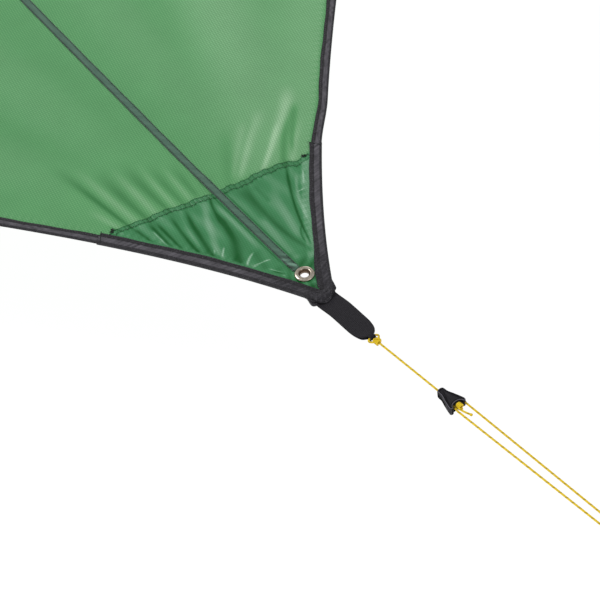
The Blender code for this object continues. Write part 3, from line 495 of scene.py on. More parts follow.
def corner_relief(corner, flat):
    """Height, and tone of painted shade and light, that the corner's folds and the puckers of its patch
    give to the cloth.
    """
    x, y = corner.in_corner(flat)
    radius = np.hypot(x, y)
    share = corner.fan_share(x, y)
    reach = border_reach(np.clip(share, -1.0, 1.0), corner.middle)
    to_first = y - edge_offset(np.clip(x, 0.0, SIDE_LENGTH))
    to_second = x - edge_offset(np.clip(y, 0.0, SIDE_LENGTH))
    tape = np.where(radius < reach, CORNER_TAPE_WIDTH, EDGE_TAPE_WIDTH)
    to_tape = np.minimum(to_first, to_second) * 0.93 - tape
    off_seam = np.abs(np.arctan2(y, x) - corner.seam_angle(np.maximum(radius, 0.02))) * radius
    to_eyelet = np.hypot(x - EYELET_PLACE, y - EYELET_PLACE)
    clear = smooth(to_tape, -0.0005, 0.0035) * smooth(to_eyelet - EYELET_RADIUS, 0.001, 0.010)
    arc = share * radius * 0.62
    fine = np.sin(arc / 0.0043 + 2.0 * np.sin(radius / 0.031))
    fine *= between(radius, 0.07, 0.13, reach * 0.98, reach * 1.02)
    # The stitched border gathers both layers into small puckers, and others stand square to the tapes
    wander = 1.3 * np.sin(arc / 0.017) + 0.6 * np.sin(radius / 0.003)
    gathers = np.sin(FULL_TURN * arc / PUCKER_LENGTH + wander)
    gathers *= hump(radius, reach - BORDER_WIDTH / 2, BORDER_WIDTH * 0.75)
    puckers = np.sin(FULL_TURN * radius / 0.0085 + 1.7 * np.sin(radius / 0.021))
    puckers *= hump(to_tape, 0.0, 0.006) * smooth(radius, 0.08, 0.12)
    # Long soft waves run out of the corner into the canopy
    window = between(radius, 0.25, 0.5, 0.7, 1.7) * (1.0 - np.abs(share)) * np.abs(share)
    waves = np.sin(5.0 * math.pi * share + corner.middle) * np.clip(4.0 * window, 0.0, 1.0)
    # Each layer: its height, its tone (painted light where it rises, painted shade where it sinks), and how
    # much of them a point has
    layers = [(fold.height, fold.tone, fold.weight(x, y)) for fold in corner.folds]
    layers += [(0.00014, 0.13, fine), (0.00036, 0.20, gathers)]
    layers += [(0.00025, 0.16, puckers), (0.0030, 0.10, waves)]
    if corner is GUYED:
        # Painted light: the high half of the canopy is painted lighter, as if it faced the lamp; its height
        # doesn't change
        painted_facing_light = smooth(share, 0.04, 0.60) * between(radius, reach, reach + 0.004, 0.35, 0.95)
        layers.append((0.0, 0.24, painted_facing_light))
    height = sum(rise * weight for rise, _, weight in layers)
    tone = sum(shade * weight for _, shade, weight in layers)
    if not corner.seam_side:
        return height * clear, tone * clear
    # A hem fold shows as a dark line of painted shade on each side of the seam, inside the patch
    clear = clear * smooth(off_seam, SEAM_WIDTH / 2, SEAM_WIDTH / 2 + 0.004)
    hem = hump(off_seam, SEAM_WIDTH / 2 + 0.0019, 0.0007)
    hem *= between(radius, 0.075, 0.095, reach * 0.97, reach)
    return height * clear + 0.00010 * hem, tone * clear - 0.75 * hem


def relief(flat):
    """Height of the middle of the cloth over its plane, and its tone of painted shade and light."""
    height = belly_level(flat)
    tone = np.zeros_like(height)
    for corner in CORNERS:
        near = np.linalg.norm(flat - corner.place, axis=-1) < FOLD_REACH
        if near.any():
            own_height, own_tone = corner_relief(corner, flat[near])
            height[near] += own_height
            tone[near] += own_tone
    return height, tone


def on_cloth(flat, lift):
    return with_level(flat, relief(flat)[0] + lift)


# Meshes


def mesh_object(name, points, faces, uv=None, tone=None):
    """An object from arrays. points are (p, q, h); uv and tone hold a value for each point."""
    mesh = bpy.data.meshes.new(name)
    mesh.from_pydata(to_row_frame(points).tolist(), [], faces)
    loop_verts = np.empty(len(mesh.loops), dtype=np.int32)
    mesh.loops.foreach_get("vertex_index", loop_verts)
    if uv is not None:
        layer = mesh.uv_layers.new(name="cloth")
        layer.data.foreach_set("uv", np.asarray(uv, dtype=np.float32)[loop_verts].ravel())
    if tone is not None:
        attribute = mesh.attributes.new("tone", "FLOAT", "POINT")
        attribute.data.foreach_set("value", np.asarray(tone, dtype=np.float32))
    mesh.shade_smooth()
    obj = bpy.data.objects.new(name, mesh)
    bpy.context.collection.objects.link(obj)
    return obj


def grid_faces(rows, columns, around=False, hoop=False):
    """Faces of a grid of points. around joins the last column to the first, hoop the rows."""
    i = np.arange(rows if hoop else rows - 1)[:, None]
    j = np.arange(columns if around else columns - 1)[None, :]
    next_i = (i + 1) % rows
    next_j = (j + 1) % columns
    quads = (i * columns + j, i * columns + next_j, next_i * columns + next_j, next_i * columns + j)
    return stack(*quads).reshape(-1, 4).tolist()


def grid_object(name, grid, uv=None, tone=None, around=True, hoop=False, caps=True):
    """A tube, ring or sheet from a grid of points."""
    rows, columns = grid.shape[:2]
    faces = grid_faces(rows, columns, around, hoop)
    if caps:
        faces.append(list(range(columns))[::-1])
        faces.append(list(range((rows - 1) * columns, rows * columns)))
    flat_uv = None if uv is None else uv.reshape(-1, 2)
    flat_tone = None if tone is None else tone.reshape(-1)
    return mesh_object(name, grid.reshape(-1, 3), faces, flat_uv, flat_tone)


def edit_mesh(obj, change):
    bm = bmesh.new()
    bm.from_mesh(obj.data)
    change(bm)
    bm.to_mesh(obj.data)
    bm.free()
    obj.data.update()


def cut_off(bm, geometry, point, normal, near=0.0):
    """Cuts away what lies past a plane, given by a point (p, q, h) and a direction."""
    where = Vector(to_row_frame(point))
    towards = PITCH.to_3x3() @ Vector(normal)
    bmesh.ops.bisect_plane(bm, geom=geometry, dist=near, plane_co=where, plane_no=towards, clear_outer=True)


def tip_plane(corner):
    """The plane square to the pull that ends the cloth and the tapes at a tip."""
    outwards = pulled(corner, 1.0, 0.0, 0.0, corner.tip) - pulled(corner, 0.0, 0.0, 0.0, corner.tip)
    return pulled(corner, -TIP_CUT, 0.0, 0.0, corner.tip), outwards


def trim_tip(obj, corner):
    point, normal = tip_plane(corner)
    centre = Vector(to_row_frame(point))

    def change(bm):
        near = [face for face in bm.faces if (face.calc_center_median() - centre).length < TIP_REACH]
        geometry = set(near)
        for face in near:
            geometry.update(face.verts)
            geometry.update(face.edges)
        cut_off(bm, list(geometry), point, normal, 1e-6)

    edit_mesh(obj, change)


def open_eyelet(obj, corner):
    """Opens a sheet under the eyelet, and rounds the hole's rim."""
    centre = Vector(to_row_frame(np.append(corner.eyelet_place(), 0.0)))

    def aside(point):
        offset = point - centre
        return offset - CLOTH_UP * offset.dot(CLOTH_UP)

    def change(bm):
        for _ in range(4):
            near = [edge for edge in bm.edges if min(aside(v.co).length for v in edge.verts) < RIM_REACH]
            coarse = [edge for edge in near if edge.calc_length() > RIM_STEP]
            if not coarse:
                break
            bmesh.ops.subdivide_edges(bm, edges=coarse, cuts=1, use_grid_fill=True)
        inside = [face for face in bm.faces if aside(face.calc_center_median()).length < EYELET_HOLE]
        bmesh.ops.delete(bm, geom=inside, context="FACES")
        for vert in bm.verts:
            offset = aside(vert.co)
            if 1e-9 < offset.length < EYELET_HOLE:
                vert.co += offset.normalized() * (EYELET_HOLE - offset.length)

    edit_mesh(obj, change)


def cloth_object(name, grid, weave, tone, corners, thickness):
    """An open sheet that looks to the weather side, trimmed and opened at its corners.

    weave holds the cosine and sine of the turn from the sides of the tarp to the threads.
    """
    p, q = grid[..., 0], grid[..., 1]
    cosine, sine = weave
    uv = stack(p * cosine - q * sine, p * sine + q * cosine)
    cloth = grid_object(name, grid, uv, tone, around=False, caps=False)
    if sum(face.normal.dot(CLOTH_UP) for face in cloth.data.polygons) < 0.0:
        cloth.data.flip_normals()
    for corner in corners:
        trim_tip(cloth, corner)
        open_eyelet(cloth, corner)
    modifier = cloth.modifiers.new("thickness", "SOLIDIFY")
    modifier.thickness = thickness
    modifier.offset = 0.0
    return cloth


# Materials


class Nodes:
    """Adds nodes to a new material, and links what they are given."""

    def __init__(self, name):
        self.material = bpy.data.materials.new(name)
        self.material.use_nodes = True
        self.tree = self.material.node_tree

    def set(self, node, inputs):
        for key, value in inputs.items():
            if isinstance(value, bpy.types.NodeSocket):
                self.tree.links.new(value, node.inputs[key])
            else:
                node.inputs[key].default_value = value

    def add(self, kind, inputs, output=0, **settings):
        """A new node's output. inputs go by a socket's name or number."""
        node = self.tree.nodes.new("ShaderNode" + kind)
        for key, value in settings.items():
            setattr(node, key, value)
        self.set(node, inputs)
        return node.outputs[output]

    def math(self, operation, *values):
        return self.add("Math", dict(enumerate(values)), operation=operation)

    def plus(self, a, b):
        return self.math("ADD", a, b)

    def times(self, a, b):
        return self.math("MULTIPLY", a, b)

    def mix(self, share, a, b, blend="MIX"):
        return self.add("Mix", {0: share, 6: a, 7: b}, 2, data_type="RGBA", blend_type=blend)

    def noise(self, scale, detail=3.0, roughness=0.55, stretch=None):
        vector = self.add("TexCoord", {}, 3)
        if stretch:
            vector = self.add("Mapping", {"Vector": vector, "Scale": stretch})
        inputs = {"Vector": vector, "Scale": scale, "Detail": detail, "Roughness": roughness}
        return self.add("TexNoise", inputs)

    def range(self, value, low, high, to_low=0.0, to_high=1.0):
        return self.add("MapRange", {"Value": value, 1: low, 2: high, 3: to_low, 4: to_high})

    def varied(self, scale, low, high, detail=3.0):
        """A value that drifts between two limits over the surface."""
        return self.range(self.noise(scale, detail), 0.3, 0.7, low, high)

    def uv(self):
        vector = self.add("UVMap", {}, uv_map="cloth")
        split = self.tree.nodes.new("ShaderNodeSeparateXYZ")
        self.set(split, {0: vector})
        return split.outputs[0], split.outputs[1]

    def tone(self):
        return self.add("Attribute", {}, 2, attribute_name="tone")

    def toned(self, dark, middle, light):
        """A colour that goes from dark over middle to light with the tone of the piece, which mostly holds
        painted shade below 0 and painted light above 0.
        """
        tone = self.tone()
        shaded = self.mix(self.range(tone, 0.0, -1.0), middle, dark)
        return self.mix(self.range(tone, 0.0, 1.0), shaded, light)

    def stripe(self, value, period, *limits):
        """How far a value is from the middle of its period, mapped from the given limits."""
        phase = self.math("FRACT", self.math("DIVIDE", value, period))
        return self.range(self.math("ABSOLUTE", self.math("SUBTRACT", phase, 0.5)), *limits)

    def ridge(self, value, period, width):
        """1 on lines of the given share of a period, 0 between them."""
        return self.stripe(value, period, 0.5 - width, 0.5)

    def bumps(self, *layers):
        """A normal from layers of height, strength and distance, each on the one before."""
        inputs = {}
        for height, strength, distance in layers:
            inputs.update({"Height": height, "Strength": strength, "Distance": distance})
            inputs["Normal"] = self.add("Bump", inputs)
        return inputs["Normal"]

    def finish(self, base, roughness, normal=None, specular=0.5, sheen=0.0, sheen_roughness=0.5, **others):
        inputs = {"Base Color": base, "Roughness": roughness, "Specular IOR Level": specular}
        inputs.update({"Sheen Weight": sheen, "Sheen Roughness": sheen_roughness, **others})
        if normal is not None:
            inputs["Normal"] = normal
        self.set(self.tree.nodes["Principled BSDF"], inputs)
        return self.material


def srgb(*colour):
    """A colour as read off a screen, for a node's linear socket."""
    shares = [value / 255 for value in colour]
    linear = [share / 12.92 if share <= 0.04045 else ((share + 0.055) / 1.055) ** 2.4 for share in shares]
    return (*linear, 1.0)


def ripstop_material(name, colours, grid, rough, crumple, gloss):
    """Coated ripstop: a fine plain weave with a grid of thicker threads, and a satin coating."""
    nodes = Nodes(name)
    u, v = nodes.uv()
    threads = nodes.math("MAXIMUM", nodes.ridge(u, RIPSTOP_CELL, 0.24), nodes.ridge(v, RIPSTOP_CELL, 0.24))
    sines = [nodes.math("SINE", nodes.times(way, WEAVE_TURN)) for way in (u, v)]
    shade = nodes.times(nodes.varied(1.6, 0.94, 1.06, 4.0), nodes.varied(26.0, 0.97, 1.03))
    grey = nodes.add("CombineColor", {"Red": shade, "Green": shade, "Blue": shade})
    # The tone darkens the cloth towards its dark colour as painted shade, and lightens it towards its light
    # colour as painted light
    base = nodes.mix(nodes.times(threads, grid), nodes.toned(*colours), colours[0])
    base = nodes.mix(1.0, base, grey, "MULTIPLY")
    wrinkles = (nodes.noise(120.0, 4.0, 0.6), crumple, 0.0012)
    bump = nodes.bumps(wrinkles, (threads, 0.35, 0.00012), (nodes.plus(*sines), 0.12, 0.00004))
    return nodes.finish(base, nodes.varied(55.0, rough - 0.05, rough + 0.06, 2.0), bump, gloss)


def tape_material():
    """Fine black binding tape: ribs and a twill, with lighter worn spots that are partly painted highlight,
    and small painted highlights.
    """
    nodes = Nodes("binding tape")
    u, v = nodes.uv()
    ribs = nodes.ridge(v, 0.00075, 0.5)
    twill = nodes.ridge(nodes.plus(u, nodes.times(v, 0.7)), 0.0011, 0.4)
    # The tape's tone gives painted shade at its fold and inner strip, and a painted highlight band between
    # them
    base = nodes.toned(srgb(13, 12, 15), srgb(42, 41, 46), srgb(108, 105, 112))
    # Lighter spots, partly wear and partly painted highlight
    wear_and_highlight = nodes.range(nodes.noise(520.0, 4.0), 0.45, 0.70, 0.0, 0.22)
    base = nodes.mix(wear_and_highlight, base, srgb(96, 92, 100))
    # Painted glints: tiny painted highlights
    painted_glints = nodes.range(nodes.noise(760.0, 2.0), 0.64, 0.76, 0.0, 0.5)
    base = nodes.mix(painted_glints, base, srgb(128, 125, 132))
    wrinkles = (nodes.noise(75.0), 0.50, 0.0030)
    creases = (nodes.noise(240.0, 4.0, 0.6), 0.70, 0.0010)
    bump = nodes.bumps(wrinkles, creases, (ribs, 0.3, 0.0001), (twill, 0.3, 0.00012))
    return nodes.finish(base, nodes.varied(180.0, 0.52, 0.68), bump, 0.26, 0.03, 0.35)


def webbing_material():
    """Ribbed webbing: cross ribs that step from warp to warp, and fine lines along it."""
    nodes = Nodes("webbing")
    u, v = nodes.uv()
    step = nodes.times(nodes.math("SINE", nodes.times(u, FULL_TURN / 0.0032)), 0.00012)
    ribs = nodes.ridge(nodes.plus(v, step), 0.0016, 0.5)
    weave = nodes.plus(nodes.times(ribs, 0.7), nodes.times(nodes.ridge(u, 0.0016, 0.5), 0.5))
    base = nodes.mix(weave, srgb(2, 2, 4), srgb(46, 44, 50))
    fluff = nodes.range(nodes.noise(700.0), 0.5, 0.8, 0.0, 0.35)
    base = nodes.mix(fluff, base, srgb(64, 62, 69))
    bump = nodes.bumps((nodes.noise(90.0), 0.2, 0.001), (weave, 0.9, 0.0005))
    return nodes.finish(base, nodes.range(weave, 0.0, 1.0, 0.85, 0.62), bump, 0.22, 0.03)


def seam_material():
    """Folded cloth of the felled seam, with a slight sheen."""
    nodes = Nodes("felled seam")
    u, v = nodes.uv()
    threads = nodes.math("MAXIMUM", nodes.ridge(u, 0.0013, 0.18), nodes.ridge(v, 0.0026, 0.18))
    # The seam's tone paints its shade and light
    base = nodes.toned(srgb(6, 38, 22), srgb(48, 90, 70), srgb(108, 150, 128))
    base = nodes.mix(nodes.times(threads, 0.25), base, srgb(30, 66, 50))
    bump = nodes.bumps((nodes.noise(220.0, 4.0), 0.4, 0.0008), (threads, 0.3, 0.0001))
    return nodes.finish(base, nodes.varied(90.0, 0.42, 0.56), bump, sheen=0.15)


def thread_material(name, colour):
    nodes = Nodes(name)
    twist = nodes.noise(2600.0, 2.0)
    shade = tuple(0.55 * value for value in colour[:3]) + (1.0,)
    base = nodes.mix(nodes.range(twist, 0.35, 0.65), colour, shade)
    return nodes.finish(base, nodes.range(twist, 0.3, 0.7, 0.5, 0.7), nodes.bumps((twist, 0.4, 0.0002)))


def metal_material():
    """Worn nickel plate, browner in the bore, and darker in the bore and at its outer rim as painted shade.
    """
    nodes = Nodes("worn nickel")
    tarnish = nodes.noise(340.0, 4.0)
    scratches = nodes.noise(90.0, 2.0, 0.5, (1.0, 14.0, 3.0))
    base = nodes.mix(nodes.range(tarnish, 0.40, 0.62), srgb(206, 198, 184), srgb(166, 154, 136))
    # Painted shade, on a browner colour: the tone darkens the bore and the rim where the flange meets the
    # cloth
    base = nodes.mix(nodes.range(nodes.tone(), 0.0, -1.0), base, srgb(96, 78, 62))
    bump = nodes.bumps((tarnish, 0.06, 0.0003), (scratches, 0.08, 0.0003))
    return nodes.finish(base, nodes.range(tarnish, 0.35, 0.65, 0.20, 0.38), bump, Metallic=1.0)


def cord_material():
    """Braided yellow line with olive flecks, each one strand of the braid wide."""
    nodes = Nodes("braided line")
    u, v = nodes.uv()
    around = nodes.math("SINE", nodes.times(u, 4.0 * FULL_TURN))
    along = nodes.math("COSINE", nodes.times(v, 2.0 * FULL_TURN / BRAID_PITCH))
    weave = nodes.range(nodes.times(around, along), -1.0, 1.0)
    base = nodes.mix(weave, srgb(238, 190, 8), srgb(255, 230, 46))
    reach = nodes.math("DIVIDE", v, FLECK_PITCH)
    fleck = nodes.stripe(nodes.plus(reach, u), 1.0, 0.15, 0.09)
    second = nodes.stripe(nodes.math("SUBTRACT", reach, u), 1.0, 0.12, 0.07, 0.0, 0.25)
    base = nodes.mix(nodes.times(nodes.math("MAXIMUM", fleck, second), 0.58), base, srgb(126, 108, 30))
    base = nodes.mix(nodes.range(nodes.noise(900.0), 0.5, 0.8, 0.0, 0.15), base, srgb(255, 232, 100))
    bump = nodes.bumps((nodes.noise(1400.0), 0.25, 0.0002), (weave, 0.8, 0.00025))
    return nodes.finish(base, nodes.range(weave, 0.0, 1.0, 0.7, 0.5), bump, 0.3, 0.05, 0.4)


def moulding_material():
    """Moulded nylon: near black, satin, with a faint mould texture, and edges lighter from wear and painted
    highlight.
    """
    nodes = Nodes("moulded nylon")
    grain = nodes.noise(1500.0)
    flow = nodes.noise(120.0, 2.0, 0.5, (1.0, 0.3, 1.0))
    base = nodes.mix(nodes.range(flow, 0.3, 0.7), srgb(5, 5, 7), srgb(14, 13, 17))
    # Wear and painted highlight: the tone lightens the rims, the ribs' crests and the lips
    rubbed_edge_highlight = nodes.times(nodes.range(nodes.tone(), 0.0, 1.0), nodes.range(grain, 0.3, 0.7, 0.3, 0.8))
    base = nodes.mix(rubbed_edge_highlight, base, srgb(150, 146, 158))
    bump = nodes.bumps((grain, 0.25, 0.0001))
    return nodes.finish(base, nodes.range(flow, 0.3, 0.7, 0.40, 0.54), bump, 0.10)


# Each cloth's dark, middle and light colour: the middle is its own colour, the dark one painted shade and
# the light one painted light
PANEL_COLOURS = (srgb(18, 106, 42), srgb(100, 166, 108), srgb(172, 214, 172))
PATCH_COLOURS = (srgb(0, 90, 32), srgb(72, 142, 94), srgb(160, 202, 172))
MATERIALS = {
    "ripstop": ripstop_material("ripstop", PANEL_COLOURS, 0.50, 0.46, 0.12, 0.32),
    "ripstop_double": ripstop_material("doubled ripstop", PATCH_COLOURS, 0.34, 0.40, 0.35, 0.22),
    "seam": seam_material(),
    "tape": tape_material(),
    "webbing": webbing_material(),
    "nickel": metal_material(),
    "cord": cord_material(),
    "moulding": moulding_material(),
}
GREEN_THREAD = thread_material("green thread", srgb(16, 58, 34))
BLACK_THREAD = thread_material("black thread", srgb(84, 81, 88))
LOCK_THREAD = thread_material("lock thread", srgb(18, 34, 26))


def dress(obj, slot, body="tarp", *nodes):
    """Gives a piece its finish and its body, and hides the CAD nodes that it stands for."""
    obj.data.materials.append(MATERIALS[slot])
    if body:
        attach(obj, body)
    if nodes:
        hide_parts(*nodes)
    return obj


# Rings of a stitch: place along it in lengths, width and rise over the cloth in radii
STITCH = ((-0.5, 0.35, -1.2), (-0.32, 1.0, 0.0), (0.0, 1.15, 0.35), (0.32, 1.0, 0.0), (0.5, 0.35, -1.2))
STITCH_SIDES = 5


def stitches(name, path, size, material, up=(0.0, 0.0, 1.0), zigzag=0.0):
    """A row of stitches along a path. size holds their spacing, length and radius."""
    spacing, length, radius = size
    reach = run_length(path)
    count = max(1, int(reach[-1] / spacing))
    middle = (np.arange(count) + 0.5) * reach[-1] / count

    def at(where):
        return stack(*(np.interp(where, reach, path[:, i]) for i in range(3)))

    before = np.maximum(middle - spacing / 2, 0.0)
    after = np.minimum(middle + spacing / 2, reach[-1])
    ahead = unit(at(after) - at(before))
    upwards = np.broadcast_to(np.array(up), ahead.shape)
    aside = unit(np.cross(upwards, ahead))
    if zigzag:
        sign = np.where(np.arange(count) % 2 == 0, 1.0, -1.0)[:, None]
        ahead = unit(ahead * spacing + aside * sign * 2.0 * zigzag)
        length = math.hypot(spacing, 2.0 * zigzag) * 1.02
        aside = np.cross(upwards, ahead)
    turns = (np.arange(STITCH_SIDES) * FULL_TURN / STITCH_SIDES)[None, :, None]
    around = aside[:, None] * np.cos(turns) + upwards[:, None] * np.sin(turns)
    rings = []
    for along, width, rise in STITCH:
        centre = at(middle) + ahead * along * length + upwards * rise * radius
        rings.append(centre[:, None] + around * width * radius)
    base = np.array(grid_faces(len(STITCH), STITCH_SIDES, around=True))
    faces = base[None] + (np.arange(count) * len(STITCH) * STITCH_SIDES)[:, None, None]
    points = np.stack(rings, 1).reshape(-1, 3)
    obj = mesh_object(name, points, faces.reshape(-1, 4).tolist())
    obj.data.materials.append(material)
    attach(obj, "tarp")


# Canopy


def panel_rows():
    """Places along a half panel's first edge, closest together where the photograph shows it."""
    places = list(np.arange(0.006, PANEL_FINE_REACH, PANEL_STEP))
    step = PANEL_STEP
    while places[-1] < SIDE_LENGTH:
        step = min(step * 1.05, 0.045, max(0.010, (SIDE_LENGTH - places[-1]) * 0.09))
        places.append(places[-1] + step)
    return np.array([place for place in places if place < SIDE_LENGTH - 0.005] + [SIDE_LENGTH])


def half_panel(name, beside, side, turn):
    """One half of the canopy, between the seam and the two edges that meet at the corner beside."""
    along = panel_rows()
    share = np.linspace(0.0, 1.0, 97)
    share = share - 0.5 * np.sin(FULL_TURN * share) / FULL_TURN
    far = share * SIDE_LENGTH
    first_edge = stack(-along, edge_offset(along) + PANEL_INSET)
    far_edge = stack(edge_offset(far) + PANEL_INSET - SIDE_LENGTH, far)
    if side > 0:
        first_edge = -first_edge[:, ::-1]
        far_edge = -far_edge[:, ::-1]
    seam = seam_place(along / SIDE_LENGTH * SEAM_LENGTH, side * PANEL_GAP / 2)
    corner_beside = (first_edge[-1] + far_edge[0]) / 2
    corner_across = (seam[-1] + far_edge[-1]) / 2
    t = along[:, None, None] / SIDE_LENGTH
    s = share[None, :, None]
    flat = (1 - s) * (first_edge[:, None] - t * corner_beside) + t * far_edge[None]
    flat = flat + s * (seam[:, None] - t * corner_across)
    height, tone = relief(flat)
    weave = (math.cos(turn), math.sin(turn))
    corners = (GUYED, beside, BACK_LEFT)
    panel = cloth_object(name + "_cloth", with_level(flat, height), weave, tone, corners, 1.4 * PANEL_SKIN)
    return dress(panel, "ripstop", "tarp", name)


def make_patch(corner, columns, rows):
    """The second layer of cloth in a corner, with the seam allowance folded under its border."""
    share = np.linspace(-1.0, 1.0, columns + 1)[None, :]
    inwards = (np.linspace(0.04, 1.0, rows + 1) ** 0.9)[:, None]
    reach = border_reach(share, corner.middle)
    radius = inwards * reach
    flat = corner.fan_point(radius, np.broadcast_to(share, radius.shape))
    height, tone = relief(flat)
    from_border = (1.0 - inwards) * reach
    border = fade(from_border, BORDER_WIDTH - 0.0008, BORDER_WIDTH + 0.0004)
    # Painted shade: dark lines along the border's folded edges; the border itself is darker, where the
    # allowance lies under it, and keeps no strong painted light
    folded_edge_shade = hump(from_border, 0.0, 0.0007) + 0.6 * hump(from_border, BORDER_WIDTH, 0.0010)
    tone = np.where(border > 0.5, np.minimum(tone, 0.10), tone) - 0.30 * border - 0.40 * folded_edge_shade
    # Beside the second tape, over the patch's hem, the cloth is raised a little and painted lighter, as a
    # painted sheen strip
    x, y = corner.in_corner(flat)
    from_tape = x - edge_offset(np.clip(y, 0.0, SIDE_LENGTH)) - CORNER_TAPE_WIDTH
    strip = fade(from_tape, 0.0060, 0.0095) * smooth(radius, 0.06, 0.07)
    # Puckers run into the tip, past the eyelet, with painted light and shade on them; near the tip the
    # cloth is painted darker, as painted shade between the tapes
    near_tip = fade(radius, 0.060, 0.095)
    pucker = np.sin(9.0 * share + 1.3 * np.sin(radius / 0.0070)) * np.cos(radius / 0.0031 - 5.0 * share)
    height = height + PATCH_LEVEL + 0.00025 * border + 0.0002 * strip + 0.00022 * near_tip * pucker
    tone = tone + 0.36 * strip + near_tip * (0.60 * pucker - 0.50)
    grid = with_level(flat, height)
    patch = cloth_object("patch_" + corner.name, grid, (0.84, -0.54), tone, (corner,), 1.6 * PATCH_SKIN)
    dress(patch, "ripstop_double", "tarp", "corner_patch_" + corner.name)


def seam_reaches():
    """Places along the seam, closer together towards its ends."""
    near = np.arange(EYELET_SETBACK + EYELET_RADIUS - 0.0004, SEAM_FINE_REACH, 0.0022)
    middle = np.linspace(SEAM_FINE_REACH, SEAM_LENGTH - SEAM_FINE_REACH, 420)[1:-1]
    return np.concatenate([near, middle, SEAM_LENGTH - near[::-1]])


def seam_level(reach):
    """Level of the seam's underside, which climbs onto the patches."""
    nearer = np.minimum(reach, SEAM_LENGTH - reach)
    raised = 1.0 - np.clip((nearer - SEAM_CLIMB_END) / SEAM_CLIMB, 0.0, 1.0)
    return SEAM_BASE + raised * (PATCH_TOP - PANEL_SKIN)


def make_seam():
    """The flat-felled seam: rounded folds at its sides, and two stitched grooves."""
    reach = seam_reaches()
    place = seam_place(reach)
    ahead = unit(seam_place(reach + 1e-3) - seam_place(reach - 1e-3))
    aside = stack(ahead[:, 1], -ahead[:, 0])
    across = (-1.0, -1.0, -0.93, -0.80, -0.66, -0.45, -0.2)
    across = np.array((*across, 0.0, *(-place for place in across[::-1])))
    lift = (0.0, 0.5, 0.85, 0.72, 1.0, 1.05, 1.0)
    lift = np.array((*lift, 0.98, *lift[::-1]))
    # shade: painted shade at the folded sides and in the stitched grooves, and a little painted light on
    # the crown
    shade = (-1.0, -1.0, -0.1, -1.0, -0.2, 0.15, 0.2, 0.15, 0.2, 0.15, 0.0, -0.2, -0.6, -1.0, -1.0)
    # The seam crumples where it runs under the eyelet, and its tone follows the ripple as painted light and
    # shade
    nearer = np.minimum(reach, SEAM_LENGTH - reach)[:, None]
    crumple = between(nearer, 0.066, 0.072, 0.075, 0.105)
    ripple = np.sin(reach[:, None] / 0.0021 + across * 3.0) * np.cos(reach[:, None] / 0.0047)
    half = SEAM_WIDTH / 2 * (1.0 + 0.03 * np.sin(reach / 0.011))[:, None]
    flat = place[:, None] + aside[:, None] * (across * half)[..., None]
    on_seam = relief(place)[0]
    under = 0.5 * relief(flat)[0] + 0.5 * on_seam[:, None] + seam_level(reach)[:, None]
    level = under + lift * (0.0006 + (0.00006 + 0.00045 * crumple) * ripple)
    tone = shade + (0.12 + 1.2 * crumple) * ripple
    # Two more points close the section underneath, in painted shade
    grid = np.concatenate([with_level(flat, level), with_level(flat, under)[:, [-1, 0]]], 1)
    tone = np.concatenate([tone, np.full((len(reach), 2), -0.8)], 1)
    uv = stack(np.append(across, (1.0, -1.0)) * SEAM_WIDTH / 2, reach[:, None])
    dress(grid_object("felled_seam", grid, uv, tone), "seam", "tarp", "ridge_seam")
    for name, side in (("low", -1), ("high", 1)):
        level = on_seam + seam_level(reach) + 0.00052
        path = with_level(seam_place(reach, side * SEAM_WIDTH / 2 * 0.78), level)
        stitches("seam_thread_" + name, path, SEAM_THREAD, GREEN_THREAD)


def border_thread(corner, inset, name, size):
    """A row of stitches along the border of a patch, broken by the seam."""
    share = np.linspace(-0.90, 0.90, 500)
    gap = SEAM_WIDTH / 2 / PATCH_REACH_SECOND / 0.6
    rows = [share[share < -gap], share[share > gap]] if corner.seam_side else [share]
    for number, part in enumerate(rows):
        wander = 0.0004 * np.sin(part * 310.0) + 0.0003 * np.sin(part * 127.0 + inset * 900.0)
        radius = border_reach(part, corner.middle) - inset + wander
        path = on_cloth(corner.fan_point(radius, part), PATCH_LEVEL + 0.0005)
        stitches(f"{name}_{corner.name}_{number + 1}", path, size, GREEN_THREAD)


def thread_knot(corner, share, name):
    """A tangle of thread that locks a border's row beside a tape, with a loose end over the tape."""
    reach = border_reach(share, corner.middle) - 0.0005
    centre = corner.fan_point(reach, np.array(share))
    beyond = corner.fan_point(reach, np.array(share + math.copysign(0.08, share)))
    outwards = unit(beyond - centre)
    square = np.array((-outwards[1], outwards[0]))
    turns = np.linspace(0.0, FULL_TURN, 90)
    first = 0.0021 * np.cos(3.0 * turns + 0.4) + 0.0005 * np.cos(7.0 * turns)
    second = 0.0017 * np.sin(4.0 * turns) + 0.0004 * np.sin(9.0 * turns)
    run = np.linspace(-0.0035, 0.0060, 14)
    rows = (
        ("tangle", first, second, PATCH_LEVEL + 0.0007 + 0.0005 * np.sin(5.0 * turns), 0.00030),
        ("loose", run, 0.0008 * np.sin(run / 0.0021), PATCH_LEVEL + 0.0014, 0.00026),
    )
    for label, out, aside, lift, radius in rows:
        path = on_cloth(centre + out[:, None] * outwards + aside[:, None] * square, lift)
        stitches(f"{name}_{corner.name}_{label}", path, (0.0008, 0.0013, radius), LOCK_THREAD)


# Tapes


def tape_section(width, outer, base, points):
    """A folded tape's section as (inward offset, level, share across) points, rounded at its fold."""
    top = base + TAPE_THICKNESS
    across = np.linspace(0.0, 1.0, points)[:-1]
    crown = 0.00028 * np.sin(math.pi * across) ** 0.7 - 0.00022 * hump(across, 0.37, 0.035)
    upper = [(outer + width * (1.0 - a), top + c, 1.0 - a) for a, c in zip(across, crown)]
    turns = np.linspace(math.pi / 2, -math.pi / 2, 7)
    fold = [(outer - 0.00035 * math.cos(turn), top * math.sin(turn), 0.0) for turn in turns]
    lower = [(offset, -level, share) for offset, level, share in reversed(upper)]
    inner = [(outer + width, -base, 1.0), (outer + TAPE_THICKNESS, -base, 0.0)]
    inner += [(offset, -level, share) for offset, level, share in reversed(inner)]
    return np.array(upper + fold + lower + inner)


